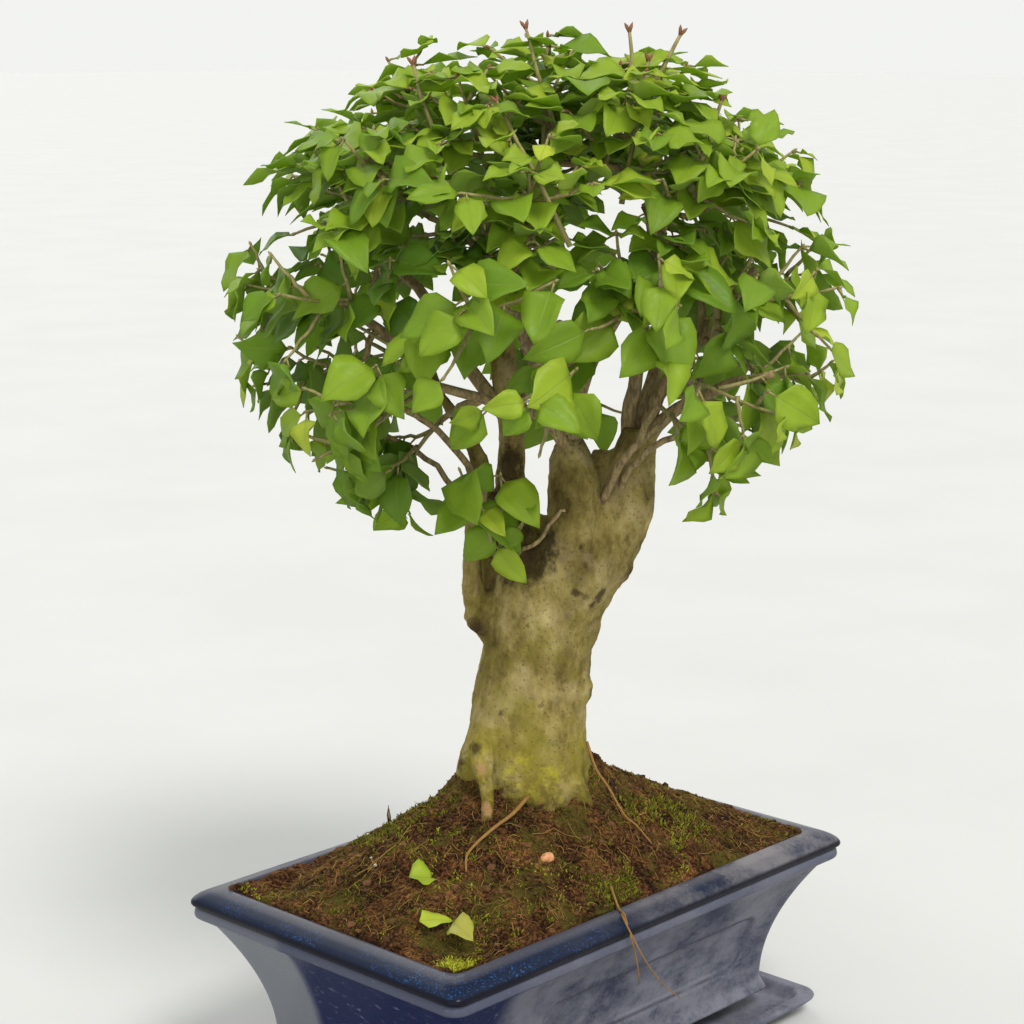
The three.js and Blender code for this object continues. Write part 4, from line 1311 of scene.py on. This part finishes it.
def make_crown():
    """The branches and twigs, as one mesh, and the leaves of each spray."""
    twigs = Heap()
    for index, (path, first, last) in enumerate(curves):
        path = wandering(path, 1.3, index * 3.7)
        radii = np.linspace(first, last, len(path))
        rod_along(twigs, path, radii, 9, age=1.0, bud=0.0)
    for name in crown_names:
        make_spray(name, twigs)
    make_trunk_shoot(twigs)
    make_uprights(twigs)
    twigs.points = [in_row_frame(points) for points in twigs.points]
    finish_mesh("twigs", twigs.mesh("twigs"), young_wood, ["wood"])


def make_trunk_shoot(twigs):
    """A young shoot from the hollow of the fork."""
    dice = random.Random("shoot")
    leaves = Heap()
    start = Vector((-9, -15, 112))
    facing = Vector((-0.1, -1, -0.1)).normalized()
    ends = (
        ((-22, -27, 146), 0.95), ((-9, -30, 145), 0.85), ((1, -31, 137), 0.65), ((-15, -32, 135), 0.8),
    )
    for end, size in ends:
        add_shoot(leaves, twigs, start, Vector(end), dice, size, 0.45, 0.5, facing=facing)
    mesh = leaves.mesh("leaf_spray_trunk_leaves", "leaf")
    finish_mesh("leaf_spray_trunk_leaves", mesh, leaf_green, ["leaf_spray_trunk"])


# ---- Soil, and what lies on it ----

MOUND_HEIGHT = 42.0
SOIL_EDGE = lip_level + 3.5
MOUND_SHIFT = 1.0
MOUND_BULGE = 1.12
COLLAR_HEIGHT = 5.0
SOIL_CORNER = 4.0
SOIL_DEPTH = 30
SOIL_COLUMNS = 172
SOIL_ROWS = 104
TRUNK_CLEAR = 21
CRUMB_COUNT = 7200
WHITE_EVERY = 700
ROOTLET_COUNT = 1500
LONG_EVERY = 90
SCATTERED_MOSS = 900
FALLEN_LENGTH = 12
FALLEN_WIDTH = 9.0


def mound_level(x, y):
    """The smooth soil surface in the row frame."""
    dx = x - MOUND_SHIFT * math.cos(TREE_TURN)
    dy = y - MOUND_SHIFT * math.sin(TREE_TURN)
    u, v = abs(dx) / soil_half_length, abs(dy) / soil_half_width
    power = 2.0 + 2.5 * max(u, v) ** 3
    share = min((u ** power + v ** power) ** (1 / power), 1.0)
    return SOIL_EDGE + MOUND_HEIGHT * (1 - share ** MOUND_BULGE) + collar(x, y)


def collar(x, y):
    """Soil heaped against the sides and back of the trunk."""
    place = to_tree @ Vector((x, y, lip_level))
    near = max(1 - abs(math.hypot(place.x, place.y) - 22) / 13, 0)
    beside = min(max((place.y + 22) / 20, 0), 1)
    return COLLAR_HEIGHT * eased(near) * beside


def rough_level(x, y):
    """The soil surface with its clods."""
    point = Vector((x, y, 0))
    clods = noise.noise(point / 9) * 1.5 + noise.noise(point / 3.7 + Vector((5, 3, 1))) * 0.9
    grains = noise.noise(point / 1.6 + Vector((9, 2, 4))) * 0.5
    edge = max(abs(x) / soil_high.x, abs(y) / soil_high.y)
    brim = 1.4 * max((edge - 0.8) / 0.2, 0)
    return mound_level(x, y) + clods * (1 - 0.5 * max(edge - 0.5, 0)) + grains + brim


def make_soil():
    """The soil bed: a rough mound with round corners, and a skirt down inside the pot."""
    shape = bmesh.new()
    bmesh.ops.create_grid(shape, x_segments=SOIL_COLUMNS, y_segments=SOIL_ROWS, size=1)
    for vert in shape.verts:
        x = vert.co.x * (soil_half_length + 0.5)
        y = vert.co.y * (soil_half_width + 0.5)
        cut_x = max(abs(x) - soil_half_length + SOIL_CORNER, 0)
        cut_y = max(abs(y) - soil_half_width + SOIL_CORNER, 0)
        out = math.hypot(cut_x, cut_y)
        if out > SOIL_CORNER:
            x -= math.copysign(cut_x * (1 - SOIL_CORNER / out), x)
            y -= math.copysign(cut_y * (1 - SOIL_CORNER / out), y)
        vert.co = (x, y, rough_level(x, y))
    boundary = [edge for edge in shape.edges if edge.is_boundary]
    skirt = bmesh.ops.extrude_edge_only(shape, edges=boundary)["geom"]
    lower = [item for item in skirt if isinstance(item, bmesh.types.BMVert)]
    for vert in lower:
        vert.co.x *= 0.9
        vert.co.y *= 0.85
        vert.co.z = lip_level - SOIL_DEPTH
    bmesh.ops.holes_fill(shape, edges=[edge for edge in shape.edges if edge.is_boundary], sides=0)
    bmesh.ops.triangulate(shape, faces=[face for face in shape.faces if len(face.verts) > 4])
    bmesh.ops.recalc_face_normals(shape, faces=shape.faces[:])
    mesh = mesh_from(shape, "soil_bed")
    set_mark(mesh, "tint", np.zeros(len(mesh.vertices)))
    set_mark(mesh, "white", np.zeros(len(mesh.vertices)))
    finish_mesh("soil_bed", mesh, soil_brown, ["soil"])


def clod_shape():
    """The shape that each loose grain of soil is a bent copy of."""
    shape = bmesh.new()
    bmesh.ops.create_icosphere(shape, subdivisions=1, radius=1)
    return shape_from(shape)


def kept_on_soil(x, y, margin):
    """A place, brought in where it lies less than a margin from the pot's wall."""
    inner_x, inner_y = soil_high.x - margin, soil_high.y - margin
    return min(max(x, -inner_x), inner_x), min(max(y, -inner_y), inner_y)


def on_soil(dice, margin):
    """A random place on the soil, clear of the pot's wall and of the trunk."""
    while True:
        x = dice.uniform(-soil_high.x + margin, soil_high.x - margin)
        y = dice.uniform(-soil_high.y + margin, soil_high.y - margin)
        place = to_tree @ Vector((x, y, lip_level))
        if math.hypot(place.x, place.y) > TRUNK_CLEAR:
            return x, y


def make_crumbs():
    """Loose grains and bits of bark on the soil."""
    dice = random.Random("crumbs")
    points, faces = clod_shape()
    heap = Heap()
    for index in range(CRUMB_COUNT):
        x, y = on_soil(dice, 0.6)
        size = dice.uniform(0.3, 0.85) if dice.random() < 0.93 else dice.uniform(0.9, 1.8)
        bent = points * np.array([dice.uniform(0.6, 1.3) for _ in points])[:, None] * size
        bent = bent * np.array([1, dice.uniform(0.6, 1), dice.uniform(0.5, 0.9)])
        turn = np.array(Matrix.Rotation(dice.uniform(0, 6.28), 3, "Z"))
        level = rough_level(x, y) + size * 0.25
        tint = dice.uniform(0, 0.4) if dice.random() < 0.85 else dice.uniform(0.4, 1)
        white = 1.0 if index % WHITE_EVERY == 9 else 0.0
        heap.add(bent @ turn.T + np.array((x, y, level)), faces, tint=tint, white=white)
    finish_mesh("soil_crumbs", heap.mesh("soil_crumbs"), soil_brown, smooth=False)


def curly(dice, x, y, length, steps, curl):
    """A path that wanders over the soil."""
    heading = dice.uniform(0, 6.28)
    turn = dice.uniform(-curl, curl)
    path = []
    for step in range(steps + 1):
        lift = 0.1 + 1.3 * abs(math.sin(step * dice.uniform(0.6, 1.1)))
        path.append((x, y, rough_level(x, y) + lift * 0.7))
        heading += turn + dice.uniform(-curl, curl) * 0.7
        next_x = x + math.cos(heading) * length / steps
        next_y = y + math.sin(heading) * length / steps
        x, y = kept_on_soil(next_x, next_y, 2)
    return path


# Roots that lie on the mound or hang over the rim: radius, then places in the tree's frame.
HANGING = [
    (0.75, (0, -25, 35.5), (-5, -32, 32), (-11, -37, 29), (-17, -43, 25.5), (-20, -48, 23), (-20, -54, 20)),
    (0.55, (20, -10, 50), (23, -15, 42), (27, -19, 37), (32, -27, 30), (36, -29, 27), (41, -33, 22)),
    (
        0.42, (27, -43, 11), (29.5, -49.5, 5.5), (31, -53.5, 5.3), (33, -58, -1), (35, -59, -9),
        (36, -57, -17),
    ),
    (0.36, (30, -55, 6), (33, -60, 1), (38, -59, -9), (44, -53, -19), (50, -48, -26)),
]


def make_rootlets():
    """Dead rootlets that curl through the top of the soil, hanging roots and a dark sprout."""
    dice = random.Random("rootlets")
    heap = Heap()
    for index in range(ROOTLET_COUNT):
        x, y = on_soil(dice, 2)
        steps = dice.choice((3, 4, 5))
        long_one = index % LONG_EVERY == 0
        length = dice.uniform(14, 24) if long_one else dice.uniform(2.5, 8)
        path = curly(dice, x, y, length, steps, 0.55)
        radius = dice.uniform(0.2, 0.3) if long_one else dice.uniform(0.07, 0.17)
        radii = [radius * (1 - 0.55 * step / steps) for step in range(steps + 1)]
        rod_along(heap, path, radii, 4, tint=dice.uniform(0, 1))
    for radius, *places in HANGING:
        path = smooth_path([in_tree(*place) for place in places], 3)
        rod_along(heap, path, np.linspace(radius, radius * 0.45, len(path)), 6, tint=0.6)
    sprout = in_tree(-48, 4, 0)
    foot = rough_level(sprout.x, sprout.y)
    for lean, tall in ((-1.8, 8), (2.0, 5)):
        path = [sprout, sprout + Vector((lean * 0.3, 0, tall / 2)), sprout + Vector((lean, lean, tall))]
        path = [Vector((point.x, point.y, point.z - lip_level + foot)) for point in path]
        rod_along(heap, path, [0.4, 0.35, 0.12], 5, tint=0.0)
    finish_mesh("rootlets", heap.mesh("rootlets"), rootlet)


def add_tuft(heap, dice, x, y, count, reach, tall, tint):
    """Moss: short fronds that stand and curl from one spot."""
    for _ in range(count):
        angle = dice.uniform(0, 6.28)
        out = reach * math.sqrt(dice.random())
        fx, fy = kept_on_soil(x + out * math.cos(angle), y + out * math.sin(angle), 1)
        lean = dice.uniform(0, 6.28)
        height = tall * dice.uniform(0.5, 1.15) * (1 - 0.5 * (out / reach) ** 2)
        base = Vector((fx, fy, rough_level(fx, fy) - 0.4))
        sway = Vector((math.cos(lean), math.sin(lean), 0)) * height * dice.uniform(0.2, 0.9)
        path = [base, base + sway * 0.4 + UP * height * 0.7, base + sway + UP * height]
        radius = dice.uniform(0.14, 0.3)
        radii = [radius, radius * 1.1, radius * 0.3]
        rod_along(heap, path, radii, 3, tint=tint + dice.uniform(-0.25, 0.2))


def make_moss():
    """Moss patches round the trunk and at a corner of the rim, and tufts all over the soil."""
    patches = {
        "moss_trunk_left": (330, 0.42), "moss_trunk_right": (330, 0.48),
        "moss_trunk_front": (150, 0.45), "moss_rim_corner": (160, 0.8),
    }
    for name, (count, tint) in patches.items():
        dice = random.Random(name)
        low, high = box_mm(name)
        centre, half = (low + high) / 2, (high - low) / 2
        heap = Heap()
        for _ in range(count // 10):
            x = centre.x + half.x * dice.uniform(-0.8, 0.8)
            y = centre.y + half.y * dice.uniform(-0.8, 0.8)
            add_tuft(heap, dice, x, y, 26, 3.6, 2.4, tint)
        finish_mesh(name + "_tufts", heap.mesh(name + "_tufts"), moss_green, [name])
    dice = random.Random("scattered moss")
    heap = Heap()
    for _ in range(SCATTERED_MOSS):
        x, y = on_soil(dice, 1)
        near_rim = max(abs(x) / soil_high.x, abs(y) / soil_high.y)
        near_corner = max(-x / soil_high.x - y / soil_high.y - 0.7, 0)
        mossy = noise.noise(Vector((x, y, 40)) / 16) + 0.35 * near_rim + 0.45 * near_corner
        if mossy < 0.1:
            continue
        bright = 0.50 + 0.5 * noise.noise(Vector((x, y, 90)) / 20)
        count = dice.randint(6, 14)
        reach = dice.uniform(1.5, 3.8)
        tall = dice.uniform(0.9, 1.9)
        add_tuft(heap, dice, x, y, count, reach, tall, bright)
    finish_mesh("moss_scattered", heap.mesh("moss_scattered"), moss_green)


def make_pebble():
    """A small orange stone, lumpy and a little smaller than its box."""
    low, high = box_mm("pebble")
    shape = bmesh.new()
    bmesh.ops.create_icosphere(shape, subdivisions=3, radius=1)
    for vert in shape.verts:
        vert.co *= 1 + 0.14 * noise.noise(vert.co * 1.3) + 0.05 * noise.noise(vert.co * 4)
        vert.co = (low + high) / 2 + Vector(a * b for a, b in zip(vert.co, (high - low) / 2 * 0.95))
    finish_mesh("stone_chip", mesh_from(shape, "stone_chip"), stone, ["pebble"])


def make_fallen_leaves():
    """Three leaves that lie on the soil: material, slot, shade and bearing of each."""
    looks = {
        "fallen_leaf_green": (leaf_green, "fallen_leaf_green", 0.95, 20),
        "fallen_leaf_yellow": (leaf_yellow, "fallen_leaf_yellow", 0.6, -60),
        "fallen_leaf_dark": (leaf_green, "fallen_leaf_green", 0.75, 15),
    }
    for name, (material, slot, shade, bearing) in looks.items():
        dice = random.Random(name)
        low, high = box_mm(name)
        middle = to_tree @ ((low + high) / 2)
        heap = Heap()
        angle = math.radians(bearing)
        along = Vector((math.cos(angle), math.sin(angle), 0))
        face = Vector((-0.25, -0.45, 1))
        base = middle - along * FALLEN_LENGTH * 0.6 + UP * 1.6
        add_leaf(heap, base, along, face, FALLEN_LENGTH, FALLEN_WIDTH, shade, dice)
        finish_mesh(name + "_blade", heap.mesh(name + "_blade", "leaf"), material, [name])


# ---- Everything, in order ----

make_pot()
make_saucer()
make_soil()
make_crumbs()
make_rootlets()
make_moss()
make_pebble()
make_fallen_leaves()
make_trunk()
make_crown()

for screen in ("drain_screen_left", "drain_screen_right"):
    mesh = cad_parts[screen].data
    mesh.materials.clear()
    mesh.materials.append(mesh_black)

floor_shape = bmesh.new()
bmesh.ops.create_grid(floor_shape, x_segments=1, y_segments=1, size=FLOOR_HALF)
floor_mesh = mesh_from(floor_shape, "floor")
floor_mesh.materials.append(floor_pale)
floor = put("floor", floor_mesh)

bpy.context.view_layer.update()
